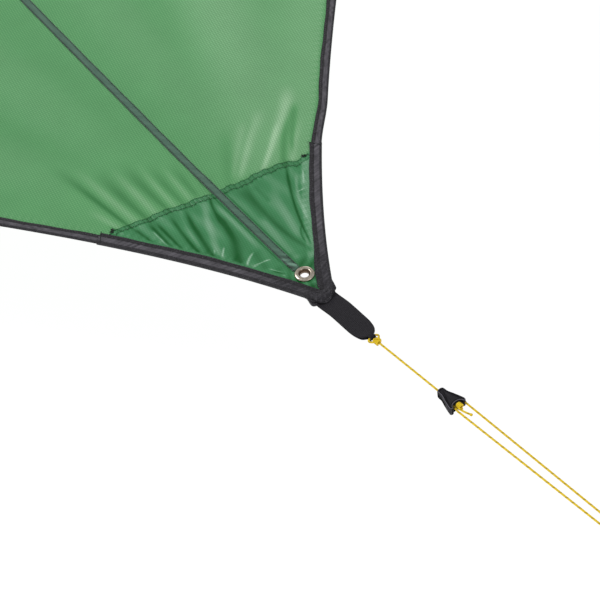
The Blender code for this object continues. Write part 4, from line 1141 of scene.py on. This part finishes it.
def make_tape(name, node, corner, along, section, mirrored=False):
    """A tape along an edge from a corner, wandering and puckered a little."""
    inwards = unit(stack(-edge_slope(along), 1.0))[:, None]
    run = along[:, None]
    offset = section[None, :, 0]
    share = section[None, :, 2]
    if mirrored:
        # The second tape is wider beside the tip
        offset = offset * (1.0 + 0.17 * share * fade(run, 0.045, 0.100))
    offset = offset + share * (0.0004 * np.sin(run / 0.019) + 0.00025 * np.sin(run / 0.0071))
    x = run + inwards[..., 0] * offset
    y = edge_offset(run) + inwards[..., 1] * offset
    flat = corner.on_plane(x, y, mirrored)
    slant = run + 0.9 * offset
    pucker = np.sin(FULL_TURN * slant / 0.0064 + 2.2 * np.sin(run / 0.013))
    pucker = pucker * (0.5 + 0.5 * np.sin(run / 0.0087 + 1.0))
    pucker = pucker + 0.6 * np.sin(slant / 0.00063 + 3.0 * np.sin(slant / 0.0042))
    bulge = np.sin(math.pi * share)
    level = section[None, :, 1] * (1.0 + 0.07 * bulge * pucker) + belly_level(flat)
    # Painted light and shade across the tape: a painted highlight band (sheen) runs between the painted
    # shade of the fold and of the inner strip (edge); the puckers add painted light and shade across
    # the band, and worn only makes the crown lighter and darker in patches along the tape
    band = between(share, 0.10, 0.20, 0.58, 0.68)
    sheen = (0.98 * band + 0.45 * hump(share, 0.04, 0.035)) * (0.55 + 0.45 * smooth(run, 0.050, 0.110))
    edge = 0.55 + 0.25 * smooth(share, 0.92, 1.0) + 0.35 * hump(share, 0.63, 0.03)
    worn = np.sin(run / 0.0037) * np.sin(run / 0.0113 + 4.0 * share)
    tone = sheen - edge + 0.20 * pucker * band + 0.20 * worn * bulge
    length = run_length(stack(along, edge_offset(along)))[:, None]
    tape = grid_object(name, with_level(flat, level), stack(offset, length), tone)
    return dress(tape, "tape", "tarp", node)


def tape_thread(name, corner, along, inset, lift, size, mirrored=False):
    """A row of stitches on a tape, at a distance inwards from the edge."""
    flat = corner.on_plane(along - edge_slope(along) * inset, edge_offset(along) + inset, mirrored)
    stitches(name, with_level(flat, belly_level(flat) + lift), size, BLACK_THREAD)


def make_edge_tape(corner, name):
    section = tape_section(EDGE_TAPE_WIDTH, 0.0, EDGE_TAPE_BASE, 19)
    start = edge_distance(PATCH_REACH_FIRST) + TAPE_GAP
    end = SIDE_LENGTH - edge_distance(PATCH_REACH_SECOND) - TAPE_GAP
    along = np.linspace(start, end, int((end - start) / 0.0036))
    make_tape("edge_tape_" + name, "edge_binding_" + name, corner, along, section)
    lift = EDGE_TAPE_BASE + TAPE_THICKNESS + 0.0001
    inset = EDGE_TAPE_WIDTH - 0.0016
    tape_thread("edge_thread_" + name, corner, along, inset, lift, EDGE_THREAD)


def make_corner_tape(corner, suffix, reach):
    """A wider tape from the tip to just past the patch, lapped over the edge tape."""
    mirrored = suffix == "second"
    width = CORNER_TAPE_WIDTH - 0.0008 - CORNER_TAPE_OUTER
    section = tape_section(width, CORNER_TAPE_OUTER, CORNER_TAPE_BASE, 23)
    end = edge_distance(reach + TAPE_LAP)
    along = np.linspace(CORNER_TAPE_START, end, int(end / 0.0014))
    label = f"{corner.name}_{suffix}"
    tape = make_tape("corner_tape_" + label, "corner_binding_" + label, corner, along, section, mirrored)
    # It ends at the tip, and just short of the corner's diagonal, where it meets the other tape
    across = unit(corner.first - corner.second if mirrored else corner.second - corner.first)
    diagonal = (np.append(corner.place - across * 0.00015, 0.0), np.append(across, 0.0))

    def change(bm):
        for point, normal in (tip_plane(corner), diagonal):
            cut_off(bm, list(bm.verts) + list(bm.edges) + list(bm.faces), point, normal)
            bmesh.ops.holes_fill(bm, edges=[edge for edge in bm.edges if edge.is_boundary])

    edit_mesh(tape, change)
    inside = along[along > 0.046]
    for number, inset in enumerate((CORNER_TAPE_WIDTH - 0.0018, 0.0022)):
        name = f"corner_thread_{label}_{number + 1}"
        lift = CORNER_TAPE_TOP + 0.00012
        tape_thread(name, corner, inside, inset, lift, CORNER_THREAD, mirrored)
    # A dense row of dark thread crosses the tape where it laps the edge tape
    offset = np.linspace(0.0004, CORNER_TAPE_WIDTH + 0.0012, 20)
    x = end - 0.0042 + 0.15 * offset
    flat = corner.on_plane(x, edge_offset(x) + offset, mirrored)
    path = with_level(flat, belly_level(flat) + CORNER_TAPE_TOP + 0.0003)
    stitches("lap_thread_" + label, path, LAP_THREAD, LOCK_THREAD, zigzag=0.0005)


# Webbing, cap and eyelet of a corner


def make_plate(name, corner, outline, top, bottom, *nodes):
    """A flat piece with rounded edges, from an outline of (along, lateral) places at a tip."""
    outline = curve_through([(x, y, 0.0) for x, y in outline], 0.0008)[::-1, :2]
    outwards = unit(outline - outline.mean(0))
    # Each ring: how far it shrinks from the outline, and its level
    rings = (
        (0.00066, bottom),
        (0.00009, bottom + 0.00012),
        (0.0, bottom + 0.0006),
        (0.0, top - 0.0006),
        (0.00009, top - 0.00012),
        (0.00036, top),
        (0.0018, top),
    )
    grid = []
    for shrink, level in rings:
        flat = outline - outwards * shrink
        grid.append(pulled(corner, flat[:, 0], flat[:, 1], level, corner.tip))
    grid = np.stack(grid, 0)
    uv = np.broadcast_to(outline[None, :, ::-1], grid.shape[:2] + (2,))
    dress(grid_object(name, grid, uv, np.full(grid.shape[:2], -0.35)), "tape", "tarp", *nodes)


def tip_thread(name, corner, row, level, size, angle, up=(0.0, 0.0, 1.0)):
    """A row of dark stitches through (along, lateral) places at a tip."""
    path = pulled(corner, row[:, 0], row[:, 1], level, angle)
    stitches(name, path, size, BLACK_THREAD, up)


def make_cap(corner):
    """The strip across the tip: its ends show behind the tapes, its rounded lobe lies on the webbing."""
    side = ((-0.0400, 0.0218), (-0.0330, 0.0200), (-0.0250, 0.0176))
    side += ((-0.0226, 0.0166), (-0.0212, 0.0140), (-0.0204, 0.0090))
    wings = (*side, (-0.0204, 0.0), *((x, -0.76 * y) for x, y in side[::-1]))
    sleeve = ((-0.0340, 0.0132), (-0.0204, 0.0130), (-0.0204, -0.0130), (-0.0340, -0.0132))
    make_plate("cap_" + corner.name, corner, wings, -0.0001, -0.0020, "corner_cap_" + corner.name)
    make_plate("cap_sleeve_" + corner.name, corner, sleeve, -0.0015, WEBBING_BOTTOM - 0.0006)
    along = (LOBE_START + (LOBE_END - LOBE_START) * np.linspace(0.0, 1.0, 34) ** 0.85)[:, None]
    around = np.linspace(0.0, FULL_TURN, 48, endpoint=False)[None, :]
    past_tip = np.clip((along - CAP_TIP) / (LOBE_END - CAP_TIP), 0.0, 1.0)
    half = np.minimum(-along * 0.556, 0.0112) * np.sqrt(np.maximum(1.0 - past_tip**2.2, 0.01))
    cosine = np.cos(around)
    sine = np.sin(around)
    lateral = half * np.sign(cosine) * np.abs(cosine) ** 0.6 - 0.0006 * past_tip
    crumple = np.sin(along / 0.0011 + lateral / 0.0014) * np.cos(lateral / 0.0023 - along / 0.0031)
    crumple = 0.00026 * crumple
    top = CORNER_TAPE_TOP - 0.0003 + 0.0009 * smooth(along, LOBE_START, LOBE_START + 0.004)
    top = top - CAP_DROP * smooth(along, CAP_TIP, LOBE_END)
    floor = CORNER_TAPE_BASE - 0.0003 - CAP_DROP * smooth(along, CAP_TIP - 0.0010, LOBE_END)
    level = (top + floor) / 2 + (top - floor) / 2 * np.sign(sine) * np.abs(sine) ** 0.45 + crumple
    # Painted light and shade follow the crumples, and the lobe's sides get painted shade
    tone = -0.15 + 1500.0 * crumple - 0.6 * (np.abs(sine) < 0.5)
    grid = pulled(corner, along, lateral, level, corner.tip)
    dress(grid_object("cap_lobe_" + corner.name, grid, stack(lateral, along), tone), "tape")
    # Thread along the lobe's rim and across it, and three rows that run over the tip
    turns = np.linspace(-1.25, 1.25, 24)
    rim = stack(-0.0215 + 0.0058 * np.cos(turns), 0.0092 * np.sin(turns) - 0.0004)
    across = stack(-0.0235, np.linspace(-0.0088, 0.0088, 24))
    for number, row in enumerate((rim, across)):
        level = CORNER_TAPE_TOP + 0.0007 - CAP_DROP * smooth(row[:, 0], CAP_TIP, LOBE_END)
        tip_thread(f"cap_thread_{corner.name}_{number + 1}", corner, row, level, CAP_THREAD, corner.tip)
    rows = (
        ((-0.0400, 0.0035), (-0.0225, -0.0080)),
        ((-0.0370, 0.0060), (-0.0205, -0.0045)),
        ((-0.0330, -0.0100), (-0.0225, 0.0085)),
    )
    for number, (start, end) in enumerate(rows):
        row = np.linspace(start, end, 16)
        name = f"tip_thread_{corner.name}_{number + 1}"
        tip_thread(name, corner, row, CORNER_TAPE_TOP + 0.0004, TIP_THREAD, corner.tip)


def loop_half_width(x):
    """Half the strap's width, which narrows to its eye and a little more round the line."""
    share = np.clip((x - LOOP_TAPER) / (EYE_CENTRE - LOOP_NOTCH - LOOP_TAPER), 0.0, 1.0)
    gathered = (WEBBING_WIDTH - LOOP_TIP_WIDTH) / 2
    slim = 0.0008 * smooth(x, EYE_CENTRE - 0.0060, EYE_CENTRE - 0.0030)
    return LOOP_TIP_WIDTH / 2 - slim + gathered * np.sqrt(1.0 - share**2.4)


def make_webbing(corner):
    """A strip folded on itself, sewn under the corner, with the line's eye at its fold."""
    stitched = (WEBBING_TOP + WEBBING_BOTTOM) / 2
    leaf = (WEBBING_THICKNESS + 0.0003) / 2
    spread = EYE_RADIUS + WEBBING_THICKNESS / 2
    x = np.linspace(-WEBBING_TAIL, EYE_CENTRE, 90)
    level = stitched + smooth(x, -0.018, 0.006) * (LOOP_LEVEL - stitched)
    half = leaf + smooth(x, 0.040, EYE_CENTRE) * (spread - leaf)
    turns = np.linspace(math.pi / 2, -math.pi / 2, 15)[1:-1]
    fold_z = LOOP_LEVEL + spread * np.sin(turns)
    line_x = np.concatenate([x, EYE_CENTRE + spread * np.cos(turns), x[::-1]])[:, None]
    line_z = np.concatenate([level + half, fold_z, (level - half)[::-1]])[:, None]
    line = np.concatenate([line_x, line_z], 1)
    ahead = unit(np.gradient(line, axis=0))
    out_x = -ahead[:, 1:]
    out_z = ahead[:, :1]
    across = np.linspace(-1.0, 1.0, 27)[None, :]
    curl = 1.0 - 0.55 * np.abs(across) ** 12
    buckle = 0.0005 * smooth(line_x, 0.030, EYE_CENTRE) * np.cos(across * 9.0)
    py = across * loop_half_width(line_x) + 0.0020 * fade(line_x, -0.010, 0.048)
    uv = stack(across * WEBBING_WIDTH / 2, run_length(line)[:, None])
    # The gathers stand on the outside, and leave the eye free
    sides = []
    for sign, wave in ((1.0, buckle), (-1.0, 0.1 * buckle)):
        offset = sign * WEBBING_THICKNESS / 2 * curl
        px = line_x + out_x * (offset + wave * np.sign(out_z + 1e-6))
        sides.append(pulled(corner, px, py, line_z + out_z * offset + 0.6 * wave, corner.pull))
    grid = np.concatenate([sides[0], sides[1][:, ::-1]], 1)
    strap = grid_object("webbing_" + corner.name, grid, np.concatenate([uv, uv[:, ::-1]], 1))
    dress(strap, "webbing", "tarp", "webbing_loop_" + corner.name)
    # A stitched box with a cross holds the two leaves under the corner
    tail = -WEBBING_TAIL + 0.003
    front = -TIP_CUT - 0.004
    a, b = (tail, -BOX_HALF_WIDTH), (tail, BOX_HALF_WIDTH)
    c, d = (front, BOX_HALF_WIDTH), (front, -BOX_HALF_WIDTH)
    for number, (start, end) in enumerate(((a, b), (b, c), (c, d), (d, a), (a, c), (b, d))):
        row = np.linspace(start, end, 12)
        name = f"box_thread_{corner.name}_{number + 1}"
        level = WEBBING_BOTTOM - 0.0001
        tip_thread(name, corner, row, level, BOX_THREAD, corner.pull, up=(0.0, 0.0, -1.0))


def make_ring(name, node, corner, section, radius):
    """A turned metal ring from a closed section of (radius, level, tone of painted shade), with rounded
    corners.
    """
    places = np.array(section)[:, :2]
    profile = []
    tones = []
    for i, (_, _, tone) in enumerate(section):
        back = places[i - 1] - places[i]
        ahead = places[(i + 1) % len(places)] - places[i]
        cut = min(radius, np.linalg.norm(back) * 0.45, np.linalg.norm(ahead) * 0.45)
        for t in np.linspace(0.0, 1.0, 5):
            rounded = (1 - t) ** 2 * unit(back) + t**2 * unit(ahead)
            profile.append(places[i] + rounded * cut)
            tones.append(tone)
    profile = np.array(profile)
    turns = np.arange(96)[:, None] * FULL_TURN / 96
    centre = corner.eyelet_place()
    p = centre[0] + profile[:, 0] * np.cos(turns)
    q = centre[1] + profile[:, 0] * np.sin(turns)
    grid = stack(p, q, profile[:, 1])
    tone = np.broadcast_to(np.array(tones), grid.shape[:2])
    ring = grid_object(name + corner.name, grid, None, tone, hoop=True, caps=False)
    ring.data.flip_normals()
    dress(ring, "nickel", "tarp", node + corner.name)


def make_eyelet(corner):
    seat = PATCH_TOP + 0.0003
    # Rows of (radius, level, tone): the tone is painted shade in the bore and at the rim that meets the
    # cloth
    flange = [
        (EYELET_BORE - EYELET_ROLL, CURL_BOTTOM + 0.0006, -0.8),
        (EYELET_BORE, CURL_BOTTOM, -0.3),
        (0.0071, CURL_BOTTOM, 0.0),
        (0.0075, CURL_BOTTOM + 0.0003, 0.0),
        (0.0071, WASHER_BOTTOM - 0.0003, -0.2),
        (EYELET_BORE + 0.0006, WASHER_BOTTOM - 0.0003, -0.5),
        (EYELET_BORE + 0.0006, seat, -0.6),
        (EYELET_RADIUS + 0.0001, seat, -0.7),
        (EYELET_RADIUS + 0.0004, seat + 0.0006, -0.45),
        (EYELET_RADIUS - 0.0006, FLANGE_CREST - 0.0003, 0.0),
        (EYELET_RADIUS - 0.0018, FLANGE_CREST, 0.05),
        (EYELET_BORE + 0.0010, FLANGE_CREST, 0.05),
        (EYELET_BORE + 0.0004, FLANGE_CREST - 0.0004, -0.8),
        (EYELET_BORE - 0.0003, FLANGE_CREST - 0.0010, -1.0),
        (EYELET_BORE - EYELET_ROLL, FLANGE_CREST - 0.0019, -1.0),
    ]
    washer = [
        (EYELET_HOLE, WASHER_BOTTOM, 0.0),
        (WASHER_RADIUS, WASHER_BOTTOM, 0.0),
        (WASHER_RADIUS, WASHER_TOP, 0.0),
        (EYELET_HOLE, WASHER_TOP, 0.0),
    ]
    make_ring("eyelet_ring_", "eyelet_", corner, flange, 0.0005)
    make_ring("washer_ring_", "washer_", corner, washer, 0.0004)


# Guyline


def on_line(x, y, z=0.0):
    """Points (p, q, h) from places in the frame of the guyed corner's eye."""
    return pulled(GUYED, EYE_CENTRE + np.asarray(x), np.asarray(y), LOOP_LEVEL + np.asarray(z), GUYED.pull)


def curve_through(points, spacing):
    """Evenly spaced points on a Catmull-Rom curve through the given points."""
    points = np.asarray(points, dtype=float)
    padded = np.concatenate([[2 * points[0] - points[1]], points, [2 * points[-1] - points[-2]]])
    dense = []
    for a, b, c, d in zip(padded, padded[1:], padded[2:], padded[3:]):
        for t in np.linspace(0.0, 1.0, 24, endpoint=False):
            bent = (2 * a - 5 * b + 4 * c - d) * t**2 + (3 * b - a - 3 * c + d) * t**3
            dense.append((2 * b + (c - a) * t + bent) / 2)
    dense = np.array(dense + [points[-1]])
    reach = run_length(dense)
    where = np.linspace(0.0, reach[-1], max(3, int(round(reach[-1] / spacing)) + 1))
    return stack(*(np.interp(where, reach, dense[:, i]) for i in range(3)))


def braided_tube(name, route, body, *nodes, girth=1.0, sealed=False):
    """A braided cord along a route in the eye's frame, with rounded ends, or one that is sealed."""
    radius = CORD_RADIUS * girth
    ahead = unit(np.gradient(route, axis=0))
    side = np.cross(ahead[0], (0.0, 0.0, 1.0))
    if np.linalg.norm(side) < 1e-3:
        side = np.array((0.0, 1.0, 0.0))
    sides = []
    for direction in ahead:
        side = unit(side - direction * side.dot(direction))
        sides.append(side)
    side = np.array(sides)[:, None]
    up = np.cross(ahead, sides)[:, None]
    reach = run_length(route)
    u = np.arange(16)[None, :] / 16
    v = reach[:, None]
    braid = np.sin(4.0 * FULL_TURN * u) * np.cos(2.0 * FULL_TURN * v / BRAID_PITCH)
    ends = np.clip(np.minimum(reach, reach[-1] - reach) / (radius * 0.7), 0.0, 1.0)
    closing = np.sqrt(np.clip(1.0 - (1.0 - ends) ** 2, 0.06, 1.0))[:, None]
    thick = radius * closing * (0.965 + 0.070 * braid)
    if sealed:
        thick = thick * (1.0 + 0.42 * smooth(v, reach[-1] - 0.0034, reach[-1] - 0.0016))
    turn = FULL_TURN * u[..., None]
    local = route[:, None] + (side * np.cos(turn) + up * np.sin(turn)) * thick[..., None]
    grid = on_line(local[..., 0], local[..., 1], local[..., 2])
    return dress(grid_object(name, grid, stack(u, v)), "cord", body, *nodes)


def free_cord(name, node, route, span):
    """A cord between two bodies, left on no body, with its transform baked into its points.

    span is not used: the places where the stretch would start and end are worked out from it, or
    from the ends of the route without one, and then dropped.
    """
    cord = braided_tube(name, route, None, node)
    path = to_row_frame(on_line(*route.T))
    start, end = (path[0], path[-1]) if span is None else to_row_frame(on_line(np.array(span), 0.0))
    tuple(start)
    tuple(end)
    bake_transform(cord)
    length = float(run_length(path)[-1])
    route_points = [tuple(point) for point in path]
    tuple(path[0])


def coil(centre, length, turns, start, lean):
    """Points of a helix along X round a centre, for the wraps of a knot."""
    angle = start + np.linspace(0.0, turns * FULL_TURN, int(turns * 20) + 1)
    y = centre[1] + COIL_RADIUS * np.cos(angle)
    z = centre[2] + COIL_RADIUS * np.sin(angle)
    x = centre[0] + length * (np.linspace(0.0, 1.0, len(angle)) - 0.5) + lean * (y - centre[1])
    return curve_through(stack(x, y, z), 0.0005)


def make_anchor_knot():
    """The bight through the webbing's eye, and the wraps that close it round the line."""
    outside = LOOP_TIP_WIDTH / 2 + CORD_RADIUS + 0.0007
    leg = [
        (KNOT_DISTANCE - 0.0010, 0.0011, 0.0004),
        (0.0060, outside * 0.44, 0.0002),
        (0.0046, outside * 0.78, 0.0),
        (0.0022, outside, 0.0),
        (0.0, outside - 1.6 * CORD_RADIUS, 0.0),
        (0.0, outside - 3.2 * CORD_RADIUS, 0.0),
    ]
    other = [(x, -y, -z) for x, y, z in reversed(leg)]
    crossing = [
        (KNOT_DISTANCE + 0.0026, 0.0022, 0.0014),
        (KNOT_DISTANCE + 0.0010, 0.0020, 0.0032),
        (KNOT_DISTANCE - 0.0012, -0.0006, 0.0040),
        (KNOT_DISTANCE - 0.0030, -0.0022, 0.0018),
        (KNOT_DISTANCE - 0.0026, -0.0026, -0.0004),
    ]
    wraps = coil((KNOT_DISTANCE, 0.0, 0.0), 0.0046, 2.6, 0.6, 0.14)
    core = curve_through([(KNOT_DISTANCE - 0.0026, 0.0, 0.0), (LINE_START, 0.0, 0.0)], 0.0006)
    return [
        braided_tube("knot_bight", curve_through(leg + other, 0.0006), "guyline"),
        braided_tube("knot_wraps", wraps, "guyline", "anchor_knot"),
        braided_tube("knot_crossing", curve_through(crossing, 0.0005), "guyline", girth=0.9),
        braided_tube("knot_core", core, "guyline", girth=1.25),
    ]


def make_stopper():
    """The knot that the line's end makes in the mouth of the tensioner, and its sealed tail."""
    centre = np.array((NOSE + TENSIONER_LENGTH - MOUTH_DEPTH + 0.0026, 0.0010, 0.0012))
    wraps = coil(centre, 0.0048, 2.8, 0.4, 0.12)
    core = curve_through([centre - (0.0030, 0.0, 0.0), centre + (0.0034, 0.0, 0.0)], 0.0005)
    start = centre + (0.0004, -0.0016, 0.0008)
    bends = (0.0, 0.0, 0.0), (0.0026, -0.0016, 0.0006), (0.0090, -0.0008, 0.0008), (0.0176, 0.0018, 0.0008)
    tail = curve_through([start + bend for bend in bends], 0.0005)
    return [
        braided_tube("stopper_wraps", wraps, "tensioner", "stopper_knot", girth=0.95),
        braided_tube("stopper_core", core, "tensioner"),
        braided_tube("line_end", tail, "tensioner", "line_tail", girth=0.95, sealed=True),
    ]


def upper_route():
    ends = [(LINE_START - 0.0015, 0.0, 0.0), (0.05, 0.0, 0.00008), (NOSE + 0.0015, 0.0, 0.0)]
    return curve_through(ends, 0.0006)


def peg_route():
    """From the tensioner's lobe to the peg, round it, and back through the mouth."""
    lobe = np.array((TENSIONER_LENGTH - 0.008, LOBE_LINE - 0.0012, 0.0))
    mouth_exit = np.array((TENSIONER_LENGTH, MOUTH_LINE, 0.0))
    mouth_start = np.array((0.0018, 0.0, 0.0))
    turns = np.linspace(math.pi / 2, -math.pi / 2, 7)
    middle = (LOBE_LINE + MOUTH_LINE) / 2
    bend = stack(PEG_BEND + PEG_BEND_RADIUS * np.cos(turns), middle + PEG_BEND_RADIUS * np.sin(turns), 0.0)
    go = [lobe + (bend[0] - lobe) * share for share in (0.0, 0.25, 0.5, 0.75, 0.95)]
    back = [mouth_exit + (bend[-1] - mouth_exit) * share for share in (0.95, 0.75, 0.5, 0.25, 0.03)]
    entry = [mouth_exit + (mouth_start - mouth_exit) * share for share in (0.0, 0.25, 0.6, 1.0)]
    return curve_through(go + list(bend) + back + entry, 0.0007) + np.array((NOSE, 0.0, 0.0))


def tensioner_outline():
    """Plan of the moulding, from the middle of its nose round one side to the middle of its mouth."""
    length = MOULD_LENGTH
    lobe = MOULD_HALF_WIDTH
    side = [
        (0.0, 0.0),
        (0.0002, NOSE_HALF_WIDTH * 0.45),
        (0.0011, NOSE_HALF_WIDTH * 0.82),
        (0.0028, NOSE_HALF_WIDTH),
        (length * 0.28, NOSE_HALF_WIDTH * 1.1024),
        (length * 0.50, NOSE_HALF_WIDTH * 1.612),
        (length * 0.72, lobe * 0.87),
        (length * 0.87, lobe * 0.99),
        (length * 0.95, lobe),
        (length * 0.99, lobe * 0.90),
        (length, lobe * 0.76),
        (length * 0.985, lobe * 0.64),
        (length - MOULD_MOUTH * 0.50, lobe * 0.56),
        (length - MOULD_MOUTH * 0.92, lobe * 0.30),
        (length - MOULD_MOUTH, 0.0),
    ]
    half = curve_through([(MOULD_START + x, y, 0.0) for x, y in side], 0.0002)[:, :2]
    return np.concatenate([half, half[::-1][1:-1] * np.array((1.0, -1.0))])


def make_tensioner():
    """The moulded line tensioner, with a crisp rim, ribbed lobes and a shallow recess in each face."""
    outline = tensioner_outline()
    ahead = unit(np.roll(outline, -1, 0) - np.roll(outline, 1, 0))
    inwards = stack(-ahead[:, 1], ahead[:, 0])
    if np.sum(inwards * (np.array((MOULD_LENGTH * 0.55, 0.0)) - outline)) < 0.0:
        inwards = -inwards
    x = outline[:, 0]
    # Ribs stand on the outer side of the lobes, square to the faces
    on_lobe = smooth(x, MOULD_LENGTH * 0.64, MOULD_LENGTH * 0.70)
    on_lobe *= smooth(np.abs(outline[:, 1]), MOULD_HALF_WIDTH * 0.74, MOULD_HALF_WIDTH * 0.84)
    ribs = on_lobe * np.cos(FULL_TURN * x / RIB_PITCH)
    # A slot runs along each side wall, from behind the nose to the lobes
    slot = smooth(x, MOULD_START + 0.0020, MOULD_START + 0.0040)
    slot *= fade(x, MOULD_LENGTH * 0.50, MOULD_LENGTH * 0.60)
    # Each step of the section: inset, level, wear and painted highlight on the rim, and how far the ribs
    # reach
    steps = (
        (0.0, 0.0, 0.0, 1.0),
        (0.0, 0.44, 0.0, 1.0),
        (0.0, 0.60, 0.0, 1.0),
        (0.00010, 0.80, 0.0, 0.4),
        (0.00036, 0.91, 0.20, 0.0),
        (0.00065, 0.96, 1.0, 0.0),
        (0.00095, 0.99, 0.50, 0.0),
        (0.00140, 1.0, 0.0, 0.0),
        (0.00220, 0.99, 0.0, 0.0),
        (0.00280, 0.88, 0.10, 0.0),
    )
    rings = []
    tones = []
    below = [(inset, -level, *rest) for inset, level, *rest in steps[:0:-1]]
    for inset, level, wear_and_highlight, rib in (*below, *steps):
        sunk = slot * (0.0011 if abs(level) < 0.5 else 0.0)
        flat = outline + inwards * (inset + sunk + 0.0003 * rib * (on_lobe - ribs))[:, None]
        rings.append(on_line(NOSE + flat[:, 0], flat[:, 1], level * MOULD_HALF_THICKNESS))
        # The tone is wear and painted highlight on the rim, and a painted highlight on the ribs' crests
        tones.append(wear_and_highlight + 0.55 * rib * np.maximum(ribs, 0.0))
    body = grid_object("tensioner_body", np.stack(rings, 0), None, np.stack(tones, 0))
    return dress(body, "moulding", "tensioner", "line_tensioner")


def make_collar(name, x, y, angle, radius, tube):
    """A rounded lip round a hole in the tensioner."""
    turns = np.linspace(0.0, FULL_TURN, 40, endpoint=False)[:, None]
    small = np.linspace(0.0, FULL_TURN, 14, endpoint=False)[None, :]
    ring = radius + tube * np.cos(small)
    a = ring * np.cos(turns)
    c = tube * np.sin(small)
    px = NOSE + x + c * math.cos(angle) - a * math.sin(angle)
    py = y + c * math.sin(angle) + a * math.cos(angle)
    grid = on_line(px, py, ring * np.sin(turns))
    # A faint painted highlight on the lip
    collar = grid_object(name, grid, None, np.full(a.shape, 0.15), hoop=True, caps=False)
    dress(collar, "moulding", "tensioner")


# Stage, light and camera


def make_stage():
    mesh = bpy.data.meshes.new("floor")
    ends = ((-1, -1), (1, -1), (1, 1), (-1, 1))
    mesh.from_pydata([(x * FLOOR_REACH, y * FLOOR_REACH, FLOOR_LEVEL) for x, y in ends], [], [(0, 1, 2, 3)])
    floor = bpy.data.objects.new("floor", mesh)
    bpy.context.collection.objects.link(floor)
    white = (1.0, 1.0, 1.0, 1.0)
    glow = {"Emission Color": white, "Emission Strength": 0.97}
    mesh.materials.append(Nodes("studio floor").finish((0.10, 0.10, 0.10, 1.0), 0.9, specular=0.0, **glow))


def add_light(name, aim, offset, size, power):
    light = bpy.data.lights.new(name, "AREA")
    light.shape = "DISK"
    light.size = size
    light.energy = power
    obj = bpy.data.objects.new(name, light)
    obj.location = aim + Vector(offset)
    obj.rotation_euler = (-Vector(offset)).to_track_quat("-Z", "Y").to_euler()
    bpy.context.collection.objects.link(obj)


def make_lights():
    scene = bpy.context.scene
    scene.world = bpy.data.worlds.new("studio")
    scene.world.use_nodes = True
    background = scene.world.node_tree.nodes["Background"]
    background.inputs["Color"].default_value = (1.0, 1.0, 1.0, 1.0)
    background.inputs["Strength"].default_value = 0.50
    aim = Vector(to_row_frame((-0.1, 0.1, 0.0)))
    centre = Vector(to_row_frame((-1.5, 1.5, 0.0)))
    add_light("key", aim, (-3.2, -0.6, 4.2), 2.2, 105.0)
    add_light("fill", aim, (4.5, -4.0, 4.5), 3.0, 40.0)
    add_light("back", centre, (0.5, 5.0, 5.0), 3.0, 50.0)
    scene.view_settings.view_transform = "Standard"
    scene.view_settings.look = "None"


def make_camera():
    turn = CAMERA_AZIMUTH
    rise = CAMERA_ELEVATION
    back = Vector((math.sin(turn) * math.cos(rise), -math.cos(turn) * math.cos(rise), math.sin(rise)))
    right = Vector((math.cos(turn), math.sin(turn), 0.0))
    up = back.cross(right)
    aim = Vector(to_row_frame((0.0, 0.0, 0.0)))
    data = bpy.data.cameras.new("camera")
    data.lens = CAMERA_LENS
    data.sensor_width = 36.0
    data.clip_start = 0.05
    data.clip_end = 200.0
    camera = bpy.data.objects.new("camera", data)
    rotation = Matrix((right, up, back)).transposed().to_4x4()
    roll = Matrix.Rotation(CAMERA_ROLL, 4, "Z")
    place = aim + back * CAMERA_DISTANCE + right * CAMERA_OFFSET[0] + up * CAMERA_OFFSET[1]
    camera.matrix_world = Matrix.Translation(place) @ rotation @ roll
    bpy.context.collection.objects.link(camera)
    bpy.context.scene.camera = camera


make_camera()
make_stage()
make_lights()

on_upper_line = make_anchor_knot() + make_stopper() + [make_tensioner()]
free_cord("guyline_upper", "upper_line", upper_route(), None)
loop_span = (NOSE + TENSIONER_LENGTH, NOSE + PEG_BEND)
free_cord("guyline_peg_loop", "peg_loop", peg_route(), loop_span)
mould_end = MOULD_START + MOULD_LENGTH
make_collar("tensioner_nose_lip", MOULD_START + 0.0002, 0.0, 0.0, 0.0020, 0.0006)
make_collar("tensioner_lobe_lip", mould_end - 0.0006, MOULD_HALF_WIDTH * 0.84, 0.0, 0.0014, 0.0004)
make_collar("tensioner_mouth_lip", mould_end - MOULD_MOUTH * 0.55, MOUTH_LINE, -0.15, 0.0015, 0.0004)

low_panel = half_panel("left_panel", FRONT_LEFT, -1, math.radians(-35.0))
high_panel = half_panel("right_panel", BACK_RIGHT, 1, math.radians(-32.0))
make_seam()
for corner in CORNERS:
    seen = corner is GUYED
    make_patch(corner, 300 if seen else 120, 150 if seen else 80)
    border_thread(corner, 0.0008, "border_thread", BORDER_THREAD)
    border_thread(corner, BORDER_WIDTH - 0.0010, "hem_thread", HEM_THREAD)
    thread_knot(corner, -0.87, "first_knot")
    thread_knot(corner, 0.86, "second_knot")
    make_corner_tape(corner, "first", PATCH_REACH_FIRST)
    make_corner_tape(corner, "second", PATCH_REACH_SECOND)
    make_webbing(corner)
    make_cap(corner)
    make_eyelet(corner)
for corner, name in zip(CORNERS, EDGE_NAMES):
    make_edge_tape(corner, name)
